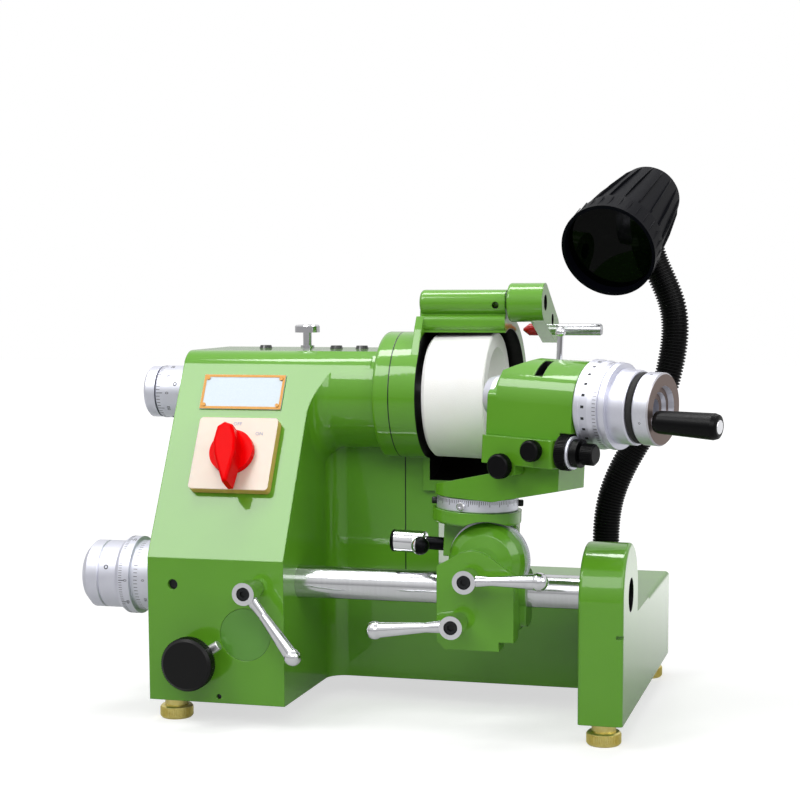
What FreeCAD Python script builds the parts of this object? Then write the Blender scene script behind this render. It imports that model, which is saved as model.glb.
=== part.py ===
"""A bench-top universal cutter grinder: a cup wheel on a fixed head, and a work-head that slides, swings,
tilts and swivels on a round guide bar.

Millimetres. While the pieces are made, X runs right from the column's left face, Y runs back from its front
panel and Z runs up from the underside of the casting. The last lines move the whole machine so that its
origin is the bottom centre of its box, on the bench."""
import FreeCAD, Part
import math
import os

# Casting
COLUMN_WIDTH = 110.0
PANEL_HEIGHT = 111.0
PANEL_LEAN = math.radians(29.0)
COLUMN_TOP = 266.0
TOP_ROUND = 20.0
HEAD_BACK = 182.0
BED_DEPTH = 271.0
BED_LENGTH = 367.0
REAR_BOX_HEIGHT = 72.0
REAR_BOX_FRONT = 117.0
NECK_FRONT = REAR_BOX_FRONT
BLEND = 15.0
BAY_TOP = 170.0
BAY_BACK_TOP = 125.0
BRACKET_THICKNESS = 33.0
BRACKET_ROUND = 38.5
WALL = 8.0
FOOT_HEIGHT = 18.0
FOOT_RADIUS = 12.5
STUD_RADIUS = 5.0
FOOT_PLACES = [(13.0, 22.0), (350.5, 20.0), (14.0, 256.0), (351.0, 255.0)]

# Fits
RUNNING = 0.05
GAP = 0.5

# Grinding spindle and wheel
SPINDLE_Y = 116.0
SPINDLE_Z = 231.0
HOUSING_RADIUS = 43.3
HOUSING_END = 160.0
FLANGE_RADIUS = 50.0
SEAM_X = 173.6
QUILL_RADIUS = 30.0
QUILL_X = (108.0, 186.0)
BEARING_RADIUS = 26.0
BEARING_WIDTH = 15.0
SHAFT_RADIUS = 12.5
SEAT_RADIUS = 10.0
WHEEL_RADIUS = 50.0
WHEEL_WIDTH = 50.0
WHEEL_X = 199.0
WHEEL_RIM = 12.0
WHEEL_WEB = 18.0

# Wheel guard
GUARD_PLATE_X = 189.0
GUARD_INNER_X = 195.0
GUARD_END_X = 259.5
GUARD_CENTRE_Z = 223.5
GUARD_INNER_RADIUS = 60.0
GUARD_OUTER_RADIUS = 69.0
GUARD_MOUTH_TOP_Y = 97.0
BOSS_Y = 104.0
BOSS_Z = 304.0
BOSS_RADIUS = 10.0

# Dresser
DRESSER_X = (261.5, 289.5)
DRESSER_RADIUS = 15.0
DRESSER_PLATE = 11.0
DRESSER_END_Y = 152.0
DRESSER_END_Z = 282.0
DIAMOND_RADIUS = 4.8
DIAMOND_X = (262.5, 326.0)

# Drive
MOTOR_Y = 196.0
MOTOR_Z = 66.0
MOTOR_RADIUS = 50.0
MOTOR_X = (66.0, 158.0)
ROTOR_RADIUS = 30.0
MOTOR_SHAFT_RADIUS = 7.0
MOTOR_PULLEY_RADIUS = 24.0
SPINDLE_PULLEY_RADIUS = 18.0
BELT_X = (44.0, 58.0)
BELT_THICKNESS = 3.0

# Guide bar and its feed
BAR_Y = 38.5
BAR_Z = 90.5
BAR_RADIUS = 12.5
BAR_X = (2.0, 352.0)
BAR_BOSS_RADIUS = 20.0

# Carriage and tilt
CARRIAGE_X = (228.0, 291.0)
CARRIAGE_SLEEVE = 17.0
CARRIAGE_PLATE_Y = (4.0, 22.0)
TILT_X = 262.5
TILT_Z = 114.0
TILT_HUB_RADIUS = 29.0
TILT_HUB_BACK = 27.0
TILT_RING_RADIUS = 30.5
TILT_PIN_RADIUS = 6.0
TILT_ANGLE = 2.2

# Swivel, slide and work-head, in the head's own axes: u along the work spindle, w back, z up
SWIVEL_X = 249.5
SWIVEL_Y = 38.5
SWIVEL_ANGLE = 19.0
COLLAR_RADIUS = 33.5
COLLAR_Z = (141.0, 151.0)
SWIVEL_RING_RADIUS = 30.5
SWIVEL_RING_TOP = 161.0
TABLE_RADIUS = 32.0
TABLE_TOP = 191.0
TABLE_END = 86.0
SLIDE_U = (29.0, 88.0)
SLIDE_W = (-46.0, 16.0)
SLIDE_TOP = 211.5
HEAD_W = -9.0
HEAD_Z = 236.5
HEAD_RADIUS = 30.0
HEAD_U = (29.0, 98.0)
WORK_SHAFT_RADIUS = 16.0
WORK_BORE_RADIUS = 7.0
INDEX_RADIUS = 32.0
HANDWHEEL_RADIUS = 25.6
HANDWHEEL_U = (141.5, 153.6)
HANDLE_W = -24.0
HANDLE_Z = 229.0
HANDLE_RADIUS = 9.2
HANDLE_U = (156.0, 203.0)
KNOB_W = -36.0
KNOB_Z = 203.5

# Lamp
LAMP_BASE_X = 323.0
LAMP_BASE_Y = 200.0
NECK_RADIUS = 11.0
NECK_ROOT_RADIUS = 9.6
NECK_BORE = 7.0
NECK_RIBS = 110
NECK_POINTS = [(323.0, 88.0), (323.0, 112.0), (326.5, 141.0), (343.5, 181.0), (363.0, 216.0), (375.5, 258.0),
               (375.0, 302.0), (362.0, 333.0), (354.5, 354.0)]
LAMP_FRONT = (335.3, 118.0, 343.1)
LAMP_BACK = (354.5, 213.0, 389.9)
LAMP_RADIUS = 37.8
LAMP_BACK_RADIUS = 25.5

X_AXIS = FreeCAD.Vector(1, 0, 0)
Y_AXIS = FreeCAD.Vector(0, 1, 0)
Z_AXIS = FreeCAD.Vector(0, 0, 1)


def point(x, y, z):
    return FreeCAD.Vector(x, y, z)


def box(x, y, z):
    """A block between two X, two Y and two Z values."""
    return Part.makeBox(x[1] - x[0], y[1] - y[0], z[1] - z[0], point(x[0], y[0], z[0]))


def rod(start, direction, radius, length):
    return Part.makeCylinder(radius, length, start, direction)


def along_x(x, y, z, radius):
    """A cylinder along X between two X values, on the line y, z."""
    return rod(point(x[0], y, z), X_AXIS, radius, x[1] - x[0])


def face_of(points):
    return Part.Face(Part.makePolygon(points + [points[0]]))


def prism_x(outline, x):
    """A solid along X whose section is an outline of (y, z) points."""
    return face_of([point(x[0], y, z) for y, z in outline]).extrude(X_AXIS * (x[1] - x[0]))


def prism_y(outline, y):
    """A solid along Y whose section is an outline of (x, z) points."""
    return face_of([point(a, y[0], z) for a, z in outline]).extrude(Y_AXIS * (y[1] - y[0]))


def turned(outline, start, direction):
    """A solid of revolution from (distance along the axis, radius) points."""
    solid = face_of([point(r, 0, s) for s, r in outline]).revolve(point(0, 0, 0), Z_AXIS, 360)
    solid.Placement = FreeCAD.Placement(start, FreeCAD.Rotation(Z_AXIS, direction))
    return solid


def fuse(*shapes):
    solid = shapes[0]
    for shape in shapes[1:]:
        solid = solid.fuse(shape)
    return solid.removeSplitter()


def cut(shape, *tools):
    for tool in tools:
        shape = shape.cut(tool)
    return shape


def rounded(shape, radius, chosen):
    """Round the edges that the test accepts."""
    return shape.makeFillet(radius, [edge for edge in shape.Edges if chosen(edge)])


def group(shapes):
    return Part.makeCompound(shapes)


def panel_point(x, up, out):
    """A place on the leaning panel: x, distance up it from its lower edge, and height off it."""
    y = up * math.sin(PANEL_LEAN) - out * math.cos(PANEL_LEAN)
    z = PANEL_HEIGHT + up * math.cos(PANEL_LEAN) + out * math.sin(PANEL_LEAN)
    return point(x, y, z)


PANEL_OUT = panel_point(0, 0, 1) - panel_point(0, 0, 0)


def panel_block(x, up, out):
    """A block square to the leaning panel."""
    solid = Part.makeBox(x[1] - x[0], up[1] - up[0], out[1] - out[0])
    turn = FreeCAD.Rotation(X_AXIS, 90 - math.degrees(PANEL_LEAN))
    solid.Placement = FreeCAD.Placement(panel_point(x[0], up[0], out[0]), turn)
    return solid


def panel_y(z):
    return (z - PANEL_HEIGHT) * math.tan(PANEL_LEAN)


def column_outline(inset):
    """The column seen from its side, drawn in by a wall's thickness."""
    lean = inset / math.cos(PANEL_LEAN)
    bend = PANEL_HEIGHT + (inset - lean) / math.tan(PANEL_LEAN)
    top = COLUMN_TOP - inset
    return [(inset, -inset / WALL), (inset, bend), (panel_y(top) + lean, top), (HEAD_BACK - inset, top),
            (HEAD_BACK - inset, BAY_TOP - inset / 2), (BED_DEPTH - inset, BAY_BACK_TOP - inset / 2),
            (BED_DEPTH - inset, -inset / WALL)]


def housing_blend(column):
    """The hollow curve where the round housing grows out of the column's right face."""
    low = point(HOUSING_RADIUS - 2, 0, 0)
    foot = point(HOUSING_RADIUS + BLEND, 0, 0)
    bend = point(HOUSING_RADIUS + BLEND * (1 - math.sqrt(0.5)), 0, BLEND * (1 - math.sqrt(0.5)))
    crest = point(HOUSING_RADIUS, 0, BLEND)
    top = point(HOUSING_RADIUS - 2, 0, BLEND)
    edges = [Part.makeLine(low, foot), Part.Arc(foot, bend, crest).toShape(), Part.makeLine(crest, top),
             Part.makeLine(top, low)]
    flare = Part.Face(Part.Wire(edges)).revolve(point(0, 0, 0), Z_AXIS, 360)
    flare.Placement = FreeCAD.Placement(point(COLUMN_WIDTH, SPINDLE_Y, SPINDLE_Z),
                                        FreeCAD.Rotation(Z_AXIS, X_AXIS))
    beside = column.copy()
    beside.translate(X_AXIS * (COLUMN_WIDTH - 1))
    return flare.common(beside)


def neck_blend():
    """The hollow curve between the column's right face and the front of the neck."""
    strip = box((COLUMN_WIDTH - 1, COLUMN_WIDTH + BLEND), (NECK_FRONT - BLEND, NECK_FRONT + 1),
                (0, SPINDLE_Z - HOUSING_RADIUS + 3))
    return strip.cut(rod(point(COLUMN_WIDTH + BLEND, NECK_FRONT - BLEND, -1), Z_AXIS, BLEND, SPINDLE_Z))


def machine_bed():
    """The main casting: a hollow column, the spindle housing on its neck, the low rear box and the bracket
    that carries the far end of the guide bar."""
    column = prism_x(column_outline(0), (0, COLUMN_WIDTH))
    column = rounded(column, TOP_ROUND, lambda e: abs(e.BoundBox.ZMin - COLUMN_TOP) < 0.01
                     and e.BoundBox.XLength > 10 and abs(e.BoundBox.YMax - panel_y(COLUMN_TOP)) < 0.01)
    housing = along_x((COLUMN_WIDTH - 1, HOUSING_END), SPINDLE_Y, SPINDLE_Z, HOUSING_RADIUS)
    tangent_z = SPINDLE_Z + HOUSING_RADIUS * math.sin(PANEL_LEAN)
    shoulder = column.copy()
    shoulder.translate(X_AXIS * (HOUSING_END - 4 - COLUMN_WIDTH))
    shoulder_x = (COLUMN_WIDTH - 1, HOUSING_END)
    shoulder = shoulder.common(box(shoulder_x, (0, HEAD_BACK), (tangent_z, COLUMN_TOP + 1)))
    saddle = box((COLUMN_WIDTH - 1, HOUSING_END - 4), (SPINDLE_Y, HEAD_BACK), (SPINDLE_Z - 1, tangent_z))
    housing = housing.common(box((0, BED_LENGTH), (0, BED_DEPTH), (0, COLUMN_TOP)))
    flange = along_x((HOUSING_END, SEAM_X), SPINDLE_Y, SPINDLE_Z, FLANGE_RADIUS)
    flange = rounded(flange, 3, lambda e: abs(e.BoundBox.XMax - HOUSING_END) < 0.01)
    neck = [(NECK_FRONT, 0), (NECK_FRONT, SPINDLE_Z), (HEAD_BACK, SPINDLE_Z), (HEAD_BACK, BAY_TOP),
            (BED_DEPTH, BAY_BACK_TOP), (BED_DEPTH, 0)]
    neck = prism_x(neck, (COLUMN_WIDTH - 1, SEAM_X))
    rear_box = box((COLUMN_WIDTH - 1, BED_LENGTH), (REAR_BOX_FRONT, BED_DEPTH), (0, REAR_BOX_HEIGHT))
    rear_box = rounded(rear_box, 4, lambda e: e.BoundBox.ZMin > REAR_BOX_HEIGHT - 0.1
                       and (e.BoundBox.XMin > BED_LENGTH - 1 or e.BoundBox.YMin > BED_DEPTH - 1))
    bracket_x = (BED_LENGTH - BRACKET_THICKNESS, BED_LENGTH)
    bracket = fuse(box(bracket_x, (0, 2 * BRACKET_ROUND), (0, BAR_Z)),
                   along_x(bracket_x, BRACKET_ROUND, BAR_Z, BRACKET_ROUND),
                   box(bracket_x, (BRACKET_ROUND, REAR_BOX_FRONT + 20), (0, REAR_BOX_HEIGHT)))
    bracket = rounded(bracket, 2.5, lambda e: e.BoundBox.YMax < 2 * BRACKET_ROUND + 0.1
                      and e.BoundBox.XLength < 0.01 and e.BoundBox.ZMax > REAR_BOX_HEIGHT + 1
                      and e.BoundBox.ZLength > BRACKET_ROUND - 1)
    outer = fuse(column, housing, shoulder, saddle, flange, neck, rear_box, bracket, housing_blend(column),
                 neck_blend())
    column_room = prism_x(column_outline(WALL), (WALL, COLUMN_WIDTH - WALL))
    bay_room = [(NECK_FRONT + WALL, -1), (NECK_FRONT + WALL, BAY_TOP - 10), (HEAD_BACK - WALL, BAY_TOP - 10),
                (BED_DEPTH - WALL, BAY_BACK_TOP - 8), (BED_DEPTH - WALL, -1)]
    bay_room = prism_x(bay_room, (COLUMN_WIDTH - WALL - 1, SEAM_X - WALL))
    box_room = box((SEAM_X, BED_LENGTH - WALL), (REAR_BOX_FRONT + WALL, BED_DEPTH - WALL),
                   (-1, REAR_BOX_HEIGHT - WALL))
    window = box((16, 162), (BED_DEPTH - WALL - 1, BED_DEPTH + 1), (14, 108))
    hollow = cut(outer, column_room, bay_room, box_room, window)
    bar_boss = along_x((WALL - 1, COLUMN_WIDTH - WALL + 1), BAR_Y, BAR_Z, BAR_BOSS_RADIUS)
    clamp_boss = rod(point(88.5, WALL - 1, BAR_Z), Y_AXIS, 11, BAR_Y - BAR_RADIUS - WALL)
    foot_bosses = [rod(point(x, y, 0), Z_AXIS, 12, 22) for x, y in FOOT_PLACES if x < 100 or y > 100]
    bosses = fuse(bar_boss, clamp_boss, *foot_bosses).common(outer)
    solid = fuse(hollow, bosses)
    holes = [along_x((-1, BED_LENGTH + 1), BAR_Y, BAR_Z, BAR_RADIUS + RUNNING),
             along_x((COLUMN_WIDTH - WALL - 1, SEAM_X + 1), SPINDLE_Y, SPINDLE_Z, QUILL_RADIUS + RUNNING),
             along_x((-1, WALL + 1), SPINDLE_Y, SPINDLE_Z, 9),
             rod(point(88.5, -1, BAR_Z), Y_AXIS, 5.0 + RUNNING, BAR_Y - BAR_RADIUS + 1),
             rod(point(40, -1, 33.5), Y_AXIS, 5.0 + RUNNING, 20),
             rod(point(20.5, -1, 90.5), Y_AXIS, 4, 7), rod(point(57, -1, 5), Y_AXIS, 2, 7),
             rod(point(79, -1, 54), Y_AXIS, 20.2, 3), box((362, BED_LENGTH + 1), (-1, 3), (64, 66.5)),
             rod(point(91, 120, COLUMN_TOP + 1), -Z_AXIS, 4.0 + RUNNING, 12)]
    holes += [rod(point(x, 150, COLUMN_TOP + 1), -Z_AXIS, 4.2, 6) for x in (44.5, 106, 128)]
    holes += [rod(point(x, y, -1), Z_AXIS, STUD_RADIUS + RUNNING, 19) for x, y in FOOT_PLACES]
    holes += [panel_block((36, 81), (62, 107), (-20, 1))]
    holes += [rod(point(LAMP_BASE_X, LAMP_BASE_Y, REAR_BOX_HEIGHT + 1), -Z_AXIS, 6, 20)]
    return cut(solid, *holes)


def wheel_guard():
    """A separate casting bolted to the housing: a flange with a plate behind the wheel, a drum over and
    behind it, a neck down to the rear box and a round boss that carries the dresser."""
    flange = along_x((SEAM_X, GUARD_INNER_X), SPINDLE_Y, SPINDLE_Z, FLANGE_RADIUS)
    drum = along_x((GUARD_PLATE_X, GUARD_END_X), SPINDLE_Y, GUARD_CENTRE_Z, GUARD_OUTER_RADIUS)
    drum = drum.cut(along_x((GUARD_INNER_X, GUARD_END_X + 1), SPINDLE_Y, GUARD_CENTRE_Z, GUARD_INNER_RADIUS))
    mouth = [box((GUARD_PLATE_X - 1, GUARD_END_X + 1), (0, GUARD_MOUTH_TOP_Y), (SPINDLE_Z, 320)),
             box((GUARD_PLATE_X - 1, GUARD_END_X + 1), (0, NECK_FRONT - 4), (100, SPINDLE_Z))]
    drum = cut(drum, *mouth)
    lip_z = GUARD_CENTRE_Z + GUARD_INNER_RADIUS
    lip = box((GUARD_INNER_X - 3, GUARD_END_X), (GUARD_MOUTH_TOP_Y - 3, GUARD_MOUTH_TOP_Y + 12),
              (lip_z - 1, lip_z + 11))
    lip = rounded(lip, 4.5, lambda e: e.BoundBox.XLength > 20 and e.BoundBox.YMax < GUARD_MOUTH_TOP_Y)
    lip = lip.cut(along_x((GUARD_INNER_X, GUARD_END_X + 1), SPINDLE_Y, GUARD_CENTRE_Z, GUARD_INNER_RADIUS))
    boss = along_x((GUARD_INNER_X - 4, GUARD_END_X), BOSS_Y, BOSS_Z, BOSS_RADIUS)
    boss = rounded(boss, 3, lambda e: e.BoundBox.XMax < GUARD_INNER_X)
    web = box((GUARD_INNER_X - 4, GUARD_END_X), (BOSS_Y - 5, BOSS_Y + 6), (lip_z + 4, BOSS_Z))
    horn = prism_x([(GUARD_MOUTH_TOP_Y - 26, SPINDLE_Z + 18), (GUARD_MOUTH_TOP_Y - 9, lip_z),
                    (GUARD_MOUTH_TOP_Y - 2, lip_z + 10), (BOSS_Y + 20, lip_z + 4),
                    (SPINDLE_Y, SPINDLE_Z + 20)],
                   (GUARD_PLATE_X, GUARD_INNER_X))
    neck = box((SEAM_X, GUARD_INNER_X + 6), (NECK_FRONT, HEAD_BACK), (REAR_BOX_HEIGHT, SPINDLE_Z - 40))
    neck = neck.cut(along_x((GUARD_INNER_X, GUARD_END_X), SPINDLE_Y, GUARD_CENTRE_Z, GUARD_INNER_RADIUS))
    solid = fuse(flange, drum, lip, boss, web, horn, neck)
    return cut(solid, along_x((SEAM_X - 1, GUARD_INNER_X + 1), SPINDLE_Y, SPINDLE_Z, QUILL_RADIUS + 2),
               along_x((GUARD_END_X - 25, GUARD_END_X + 1), BOSS_Y, BOSS_Z, 5 + RUNNING),
               rod(point(252, BOSS_Y - 12, BOSS_Z - 2), Y_AXIS, 2.6, 8))


def rear_cover():
    """Sheet cover with louvres over the motor bay."""
    plate = box((8, 168), (BED_DEPTH, BED_DEPTH + 2.5), (6, 116))
    slots = [box((40 + 22 * i, 54 + 22 * i), (BED_DEPTH - 1, BED_DEPTH + 4), (30 + 12 * k, 34 + 12 * k))
             for i in range(5) for k in range(6)]
    return cut(plate, *slots, *[rod(point(x, BED_DEPTH - 1, z), Y_AXIS, 2.2, 5) for x, z in COVER_SCREWS],
               rod(point(24, BED_DEPTH - 1, 24), Y_AXIS, 6 + RUNNING, 5))


COVER_SCREWS = [(12, 10), (164, 10), (12, 112), (164, 112), (88, 10), (88, 112)]


def cover_screws():
    heads = [turned([(0, 0), (0, 4), (2.2, 3), (2.2, 0)], point(x, BED_DEPTH + 2.5, z), Y_AXIS)
             for x, z in COVER_SCREWS]
    return group(heads)


def bottom_plate():
    """Sheet floors that close the casting's hollows from below."""
    back = (NECK_FRONT + WALL + GAP, BED_DEPTH - WALL - GAP)
    left = fuse(box((WALL + GAP, COLUMN_WIDTH - WALL - GAP), (WALL + GAP, back[1]), (0.5, 2.5)),
                box((COLUMN_WIDTH - WALL - 2, SEAM_X - WALL - GAP), back, (0.5, 2.5)))
    right = box((SEAM_X + GAP, BED_LENGTH - WALL - GAP), back, (0.5, 2.5))
    bosses = [rod(point(x, y, -1), Z_AXIS, 13, 5) for x, y in FOOT_PLACES]
    return group([cut(left, *bosses), cut(right, *bosses)])


def levelling_feet():
    """Screwed feet, each a knurled pad, a lock nut and its stud."""
    feet = []
    for x, y in FOOT_PLACES:
        pad = turned([(0, 0), (0, FOOT_RADIUS - 1), (1, FOOT_RADIUS), (9, FOOT_RADIUS), (10, FOOT_RADIUS - 1),
                      (10, 9), (17.5, 9), (17.5, STUD_RADIUS), (34, STUD_RADIUS), (34, 0)],
                     point(x, y, -FOOT_HEIGHT), Z_AXIS)
        feet.append(pad)
    return group(feet)


def name_plate():
    return panel_block((20.5, 88.5), (125.5, 155.5), (0.05, 1.2))


def plate_rivets():
    places = [(24, 129), (85, 129), (24, 152), (85, 152)]
    return group([rod(panel_point(x, up, 1.25), PANEL_OUT, 1.5, 0.9) for x, up in places])


def switch_plate():
    plate = panel_block((26, 91), (54.5, 115.0), (0.05, 8))
    plate = rounded(plate, 3, lambda e: abs((e.Vertexes[1].Point - e.Vertexes[0].Point).dot(PANEL_OUT)) > 7)
    return plate.cut(rod(panel_point(58.5, 84.5, -1), PANEL_OUT, 6, 10))


def switch_body():
    """The cam switch behind the panel, with the square spindle sleeve that the knob turns."""
    return fuse(panel_block((37, 80), (63, 106), (-42, -0.2)),
                rod(panel_point(58.5, 84.5, -1), PANEL_OUT, 5.5, 6))


def switch_knob():
    """Red turn knob: a round skirt under a raised pointer, broad at the pivot and narrow at its tip."""
    pivot = panel_point(58.5, 84.5, 0)
    skirt = rod(pivot + PANEL_OUT * 8.5, PANEL_OUT, 17.5, 5.5)
    outline = [(0, 18), (-6, 15), (-9, 4), (-8.5, -8), (-2, -32), (2, -32), (8.5, -8), (9, 4), (6, 15)]
    grip = face_of([point(x, up, 0) for x, up in outline]).extrude(Z_AXIS * 17)
    grip = rounded(grip, 2.5, lambda e: e.BoundBox.ZMin > 16.9)
    lean = FreeCAD.Rotation(X_AXIS, 90 - math.degrees(PANEL_LEAN))
    grip.Placement = FreeCAD.Placement(pivot + PANEL_OUT * 13, lean.multiply(FreeCAD.Rotation(Z_AXIS, 9)))
    return fuse(skirt, grip, rod(pivot + PANEL_OUT * 5.5, PANEL_OUT, 5, 4))


def casting_plugs():
    """Oil plugs on top of the head and the round core plug in the front panel."""
    oil = [turned([(0, 0), (0, 4.1), (5, 4.1), (5, 5.5), (7.5, 4.5), (7.5, 0)],
                  point(x, 150, COLUMN_TOP - 5), Z_AXIS)
           for x in (44.5, 106, 128)]
    return group(oil + [rod(point(79, 0.1, 54), Y_AXIS, 20, 1.8)])


def set_screws():
    screws = [(20.5, 90.5, 3.9, 3.0), (57, 5, 1.9, 2.0)]
    return group([rod(point(x, depth, z), Y_AXIS, r, 2.5) for x, z, r, depth in screws])


def cable_gland():
    """The inlet for the mains lead, in the rear cover."""
    body = turned([(0, 0), (0, 6), (5, 6), (5, 9), (17, 9), (20, 7), (20, 0)],
                  point(24, BED_DEPTH - 2.4, 24), Y_AXIS)
    return body.cut(rod(point(24, BED_DEPTH - 4, 24), Y_AXIS, 4, 30))


def motor_housing():
    shell = along_x(MOTOR_X, MOTOR_Y, MOTOR_Z, MOTOR_RADIUS)
    foot = box((84, 140), (MOTOR_Y - 34, MOTOR_Y + 34), (2.6, MOTOR_Z))
    room = along_x((MOTOR_X[0] + 9, MOTOR_X[1] - 9), MOTOR_Y, MOTOR_Z, ROTOR_RADIUS + GAP)
    return cut(fuse(shell, foot), room, along_x((0, 170), MOTOR_Y, MOTOR_Z, MOTOR_SHAFT_RADIUS + RUNNING))


def motor_rotor():
    return fuse(along_x((38, MOTOR_X[1] + 4), MOTOR_Y, MOTOR_Z, MOTOR_SHAFT_RADIUS),
                along_x((MOTOR_X[0] + 12, MOTOR_X[1] - 12), MOTOR_Y, MOTOR_Z, ROTOR_RADIUS))


def motor_pulley():
    wheel = along_x((BELT_X[0] - 3, BELT_X[1] + 4), MOTOR_Y, MOTOR_Z, MOTOR_PULLEY_RADIUS)
    return wheel.cut(along_x((30, 70), MOTOR_Y, MOTOR_Z, MOTOR_SHAFT_RADIUS))


def drive_belt():
    """A flat belt round both pulleys."""
    inner, outer = [belt_loop(GAP + extra) for extra in (0, BELT_THICKNESS)]
    return outer.cut(inner)


def belt_loop(grow):
    """The solid that a belt standing off both pulleys would go round."""
    low = (MOTOR_Y, MOTOR_Z, MOTOR_PULLEY_RADIUS + grow)
    high = (SPINDLE_Y, SPINDLE_Z, SPINDLE_PULLEY_RADIUS + grow)
    span = math.hypot(high[0] - low[0], high[1] - low[1])
    along = math.atan2(high[1] - low[1], high[0] - low[0])
    lean = math.acos((low[2] - high[2]) / span)
    corners = []
    for side in (1, -1):
        angle = along + side * lean
        ends = [(y + r * math.cos(angle), z + r * math.sin(angle)) for y, z, r in (low, high)]
        corners += ends if side == 1 else ends[::-1]
    return fuse(prism_x(corners, BELT_X), along_x(BELT_X, *low), along_x(BELT_X, *high))


def quill_sleeve():
    """The sleeve that carries the spindle bearings and slides in the housing."""
    x0, x1 = QUILL_X
    sleeve = along_x(QUILL_X, SPINDLE_Y, SPINDLE_Z, QUILL_RADIUS)
    return cut(sleeve, along_x((x0 - 1, x1 + 1), SPINDLE_Y, SPINDLE_Z, BEARING_RADIUS - 4),
               along_x((x0 - 1, x0 + BEARING_WIDTH), SPINDLE_Y, SPINDLE_Z, BEARING_RADIUS),
               along_x((x1 - BEARING_WIDTH, x1 + 1), SPINDLE_Y, SPINDLE_Z, BEARING_RADIUS))


def spindle_bearings():
    rings = []
    for x in (QUILL_X[0], QUILL_X[1] - BEARING_WIDTH):
        ring = along_x((x, x + BEARING_WIDTH), SPINDLE_Y, SPINDLE_Z, BEARING_RADIUS)
        rings.append(ring.cut(along_x((x - 1, x + 20), SPINDLE_Y, SPINDLE_Z, SHAFT_RADIUS + RUNNING)))
    return group(rings)


def spindle_shaft():
    outline = [(18, 0), (18, SEAT_RADIUS - 2), (80, SEAT_RADIUS - 2), (80, SHAFT_RADIUS), (190, SHAFT_RADIUS),
               (190, SEAT_RADIUS), (226, SEAT_RADIUS), (226, 6), (240, 6), (240, 0)]
    return turned(outline, point(0, SPINDLE_Y, SPINDLE_Z), X_AXIS)


def spindle_pulley():
    wheel = along_x((BELT_X[0] - 5, BELT_X[1] + 5), SPINDLE_Y, SPINDLE_Z, SPINDLE_PULLEY_RADIUS)
    return wheel.cut(along_x((30, 70), SPINDLE_Y, SPINDLE_Z, SEAT_RADIUS - 2))


def wheel_flange():
    outline = [(190, SEAT_RADIUS), (190, 20), (194, 24), (WHEEL_X, 24), (WHEEL_X, SEAT_RADIUS)]
    return turned(outline, point(0, SPINDLE_Y, SPINDLE_Z), X_AXIS)


def grinding_wheel():
    """Straight cup wheel of white grit, slightly wider at its working rim."""
    end = WHEEL_X + WHEEL_WIDTH
    outline = [(WHEEL_X, SEAT_RADIUS), (WHEEL_X, WHEEL_RADIUS - 4.5), (WHEEL_X + 3, WHEEL_RADIUS - 1.5),
               (end - 1, WHEEL_RADIUS), (end, WHEEL_RADIUS - 1), (end, WHEEL_RADIUS - WHEEL_RIM),
               (WHEEL_X + WHEEL_WEB, WHEEL_RADIUS - WHEEL_RIM - 3), (WHEEL_X + WHEEL_WEB, SEAT_RADIUS)]
    return turned(outline, point(0, SPINDLE_Y, SPINDLE_Z), X_AXIS)


def wheel_nut():
    """Washer and hexagon nut that hold the wheel."""
    x = WHEEL_X + WHEEL_WEB
    washer = along_x((x, x + 5), SPINDLE_Y, SPINDLE_Z, 18)
    corners = [(SPINDLE_Y + 12 * math.cos(math.pi * k / 3), SPINDLE_Z + 12 * math.sin(math.pi * k / 3))
               for k in range(6)]
    nut = prism_x(corners, (x + 5, x + 16))
    return cut(fuse(washer, nut), along_x((x - 1, 226), SPINDLE_Y, SPINDLE_Z, SEAT_RADIUS),
               along_x((225, x + 30), SPINDLE_Y, SPINDLE_Z, 6))


def spindle_feed_barrel():
    """Fixed scale barrel of the spindle feed, screwed to the column's left face."""
    barrel = turned([(0, 9.5), (0, 21.5), (31, 21.5), (32, 20.5), (32, 9.5)],
                    point(-0.05, SPINDLE_Y, SPINDLE_Z), -X_AXIS)
    return barrel


def spindle_feed_dial():
    """Feed dial with the screw that bears on the spindle's end."""
    outline = [(0, 0), (0, 19), (2, 21), (10, 21), (10, 8.5), (56, 8.5), (56, 0)]
    return turned(outline, point(-43, SPINDLE_Y, SPINDLE_Z), X_AXIS)


def bar_feed_barrel():
    """Fixed scale barrel of the bar feed, with a flange that carries the numbers."""
    outline = [(0.05, 14), (0.05, 27.5), (20, 27.5), (20, 30.5), (29, 30.5), (32.5, 28), (32.5, 14)]
    return turned(outline, point(0, BAR_Y, BAR_Z), -X_AXIS)


def bar_feed_dial():
    """Feed dial: a thick turned cap that screws on the bar's feed screw."""
    outline = [(0, 0), (0, 21.5), (5, 26.5), (14, 26.5), (15, 25.3), (16, 26.5), (30, 26.5), (30, 9.5),
               (4, 9.5), (4, 0)]
    return turned(outline, point(-63, BAR_Y, BAR_Z), X_AXIS)


def bar_feed_screw():
    """The screw that the dial drives, with a spigot in the end of the guide bar."""
    outline = [(-51.5, 0), (-51.5, 9), (1, 9), (1, 6), (16, 6), (16, 0)]
    return turned(outline, point(0, BAR_Y, BAR_Z), X_AXIS)


def guide_bar():
    x0, x1 = BAR_X
    bar = turned([(x0, 0), (x0, BAR_RADIUS - 1), (x0 + 1, BAR_RADIUS), (x1 - 1, BAR_RADIUS),
                  (x1, BAR_RADIUS - 1), (x1, 0)],
                 point(0, BAR_Y, BAR_Z), X_AXIS)
    return bar.cut(along_x((0, 18), BAR_Y, BAR_Z, 6 + RUNNING))


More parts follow.
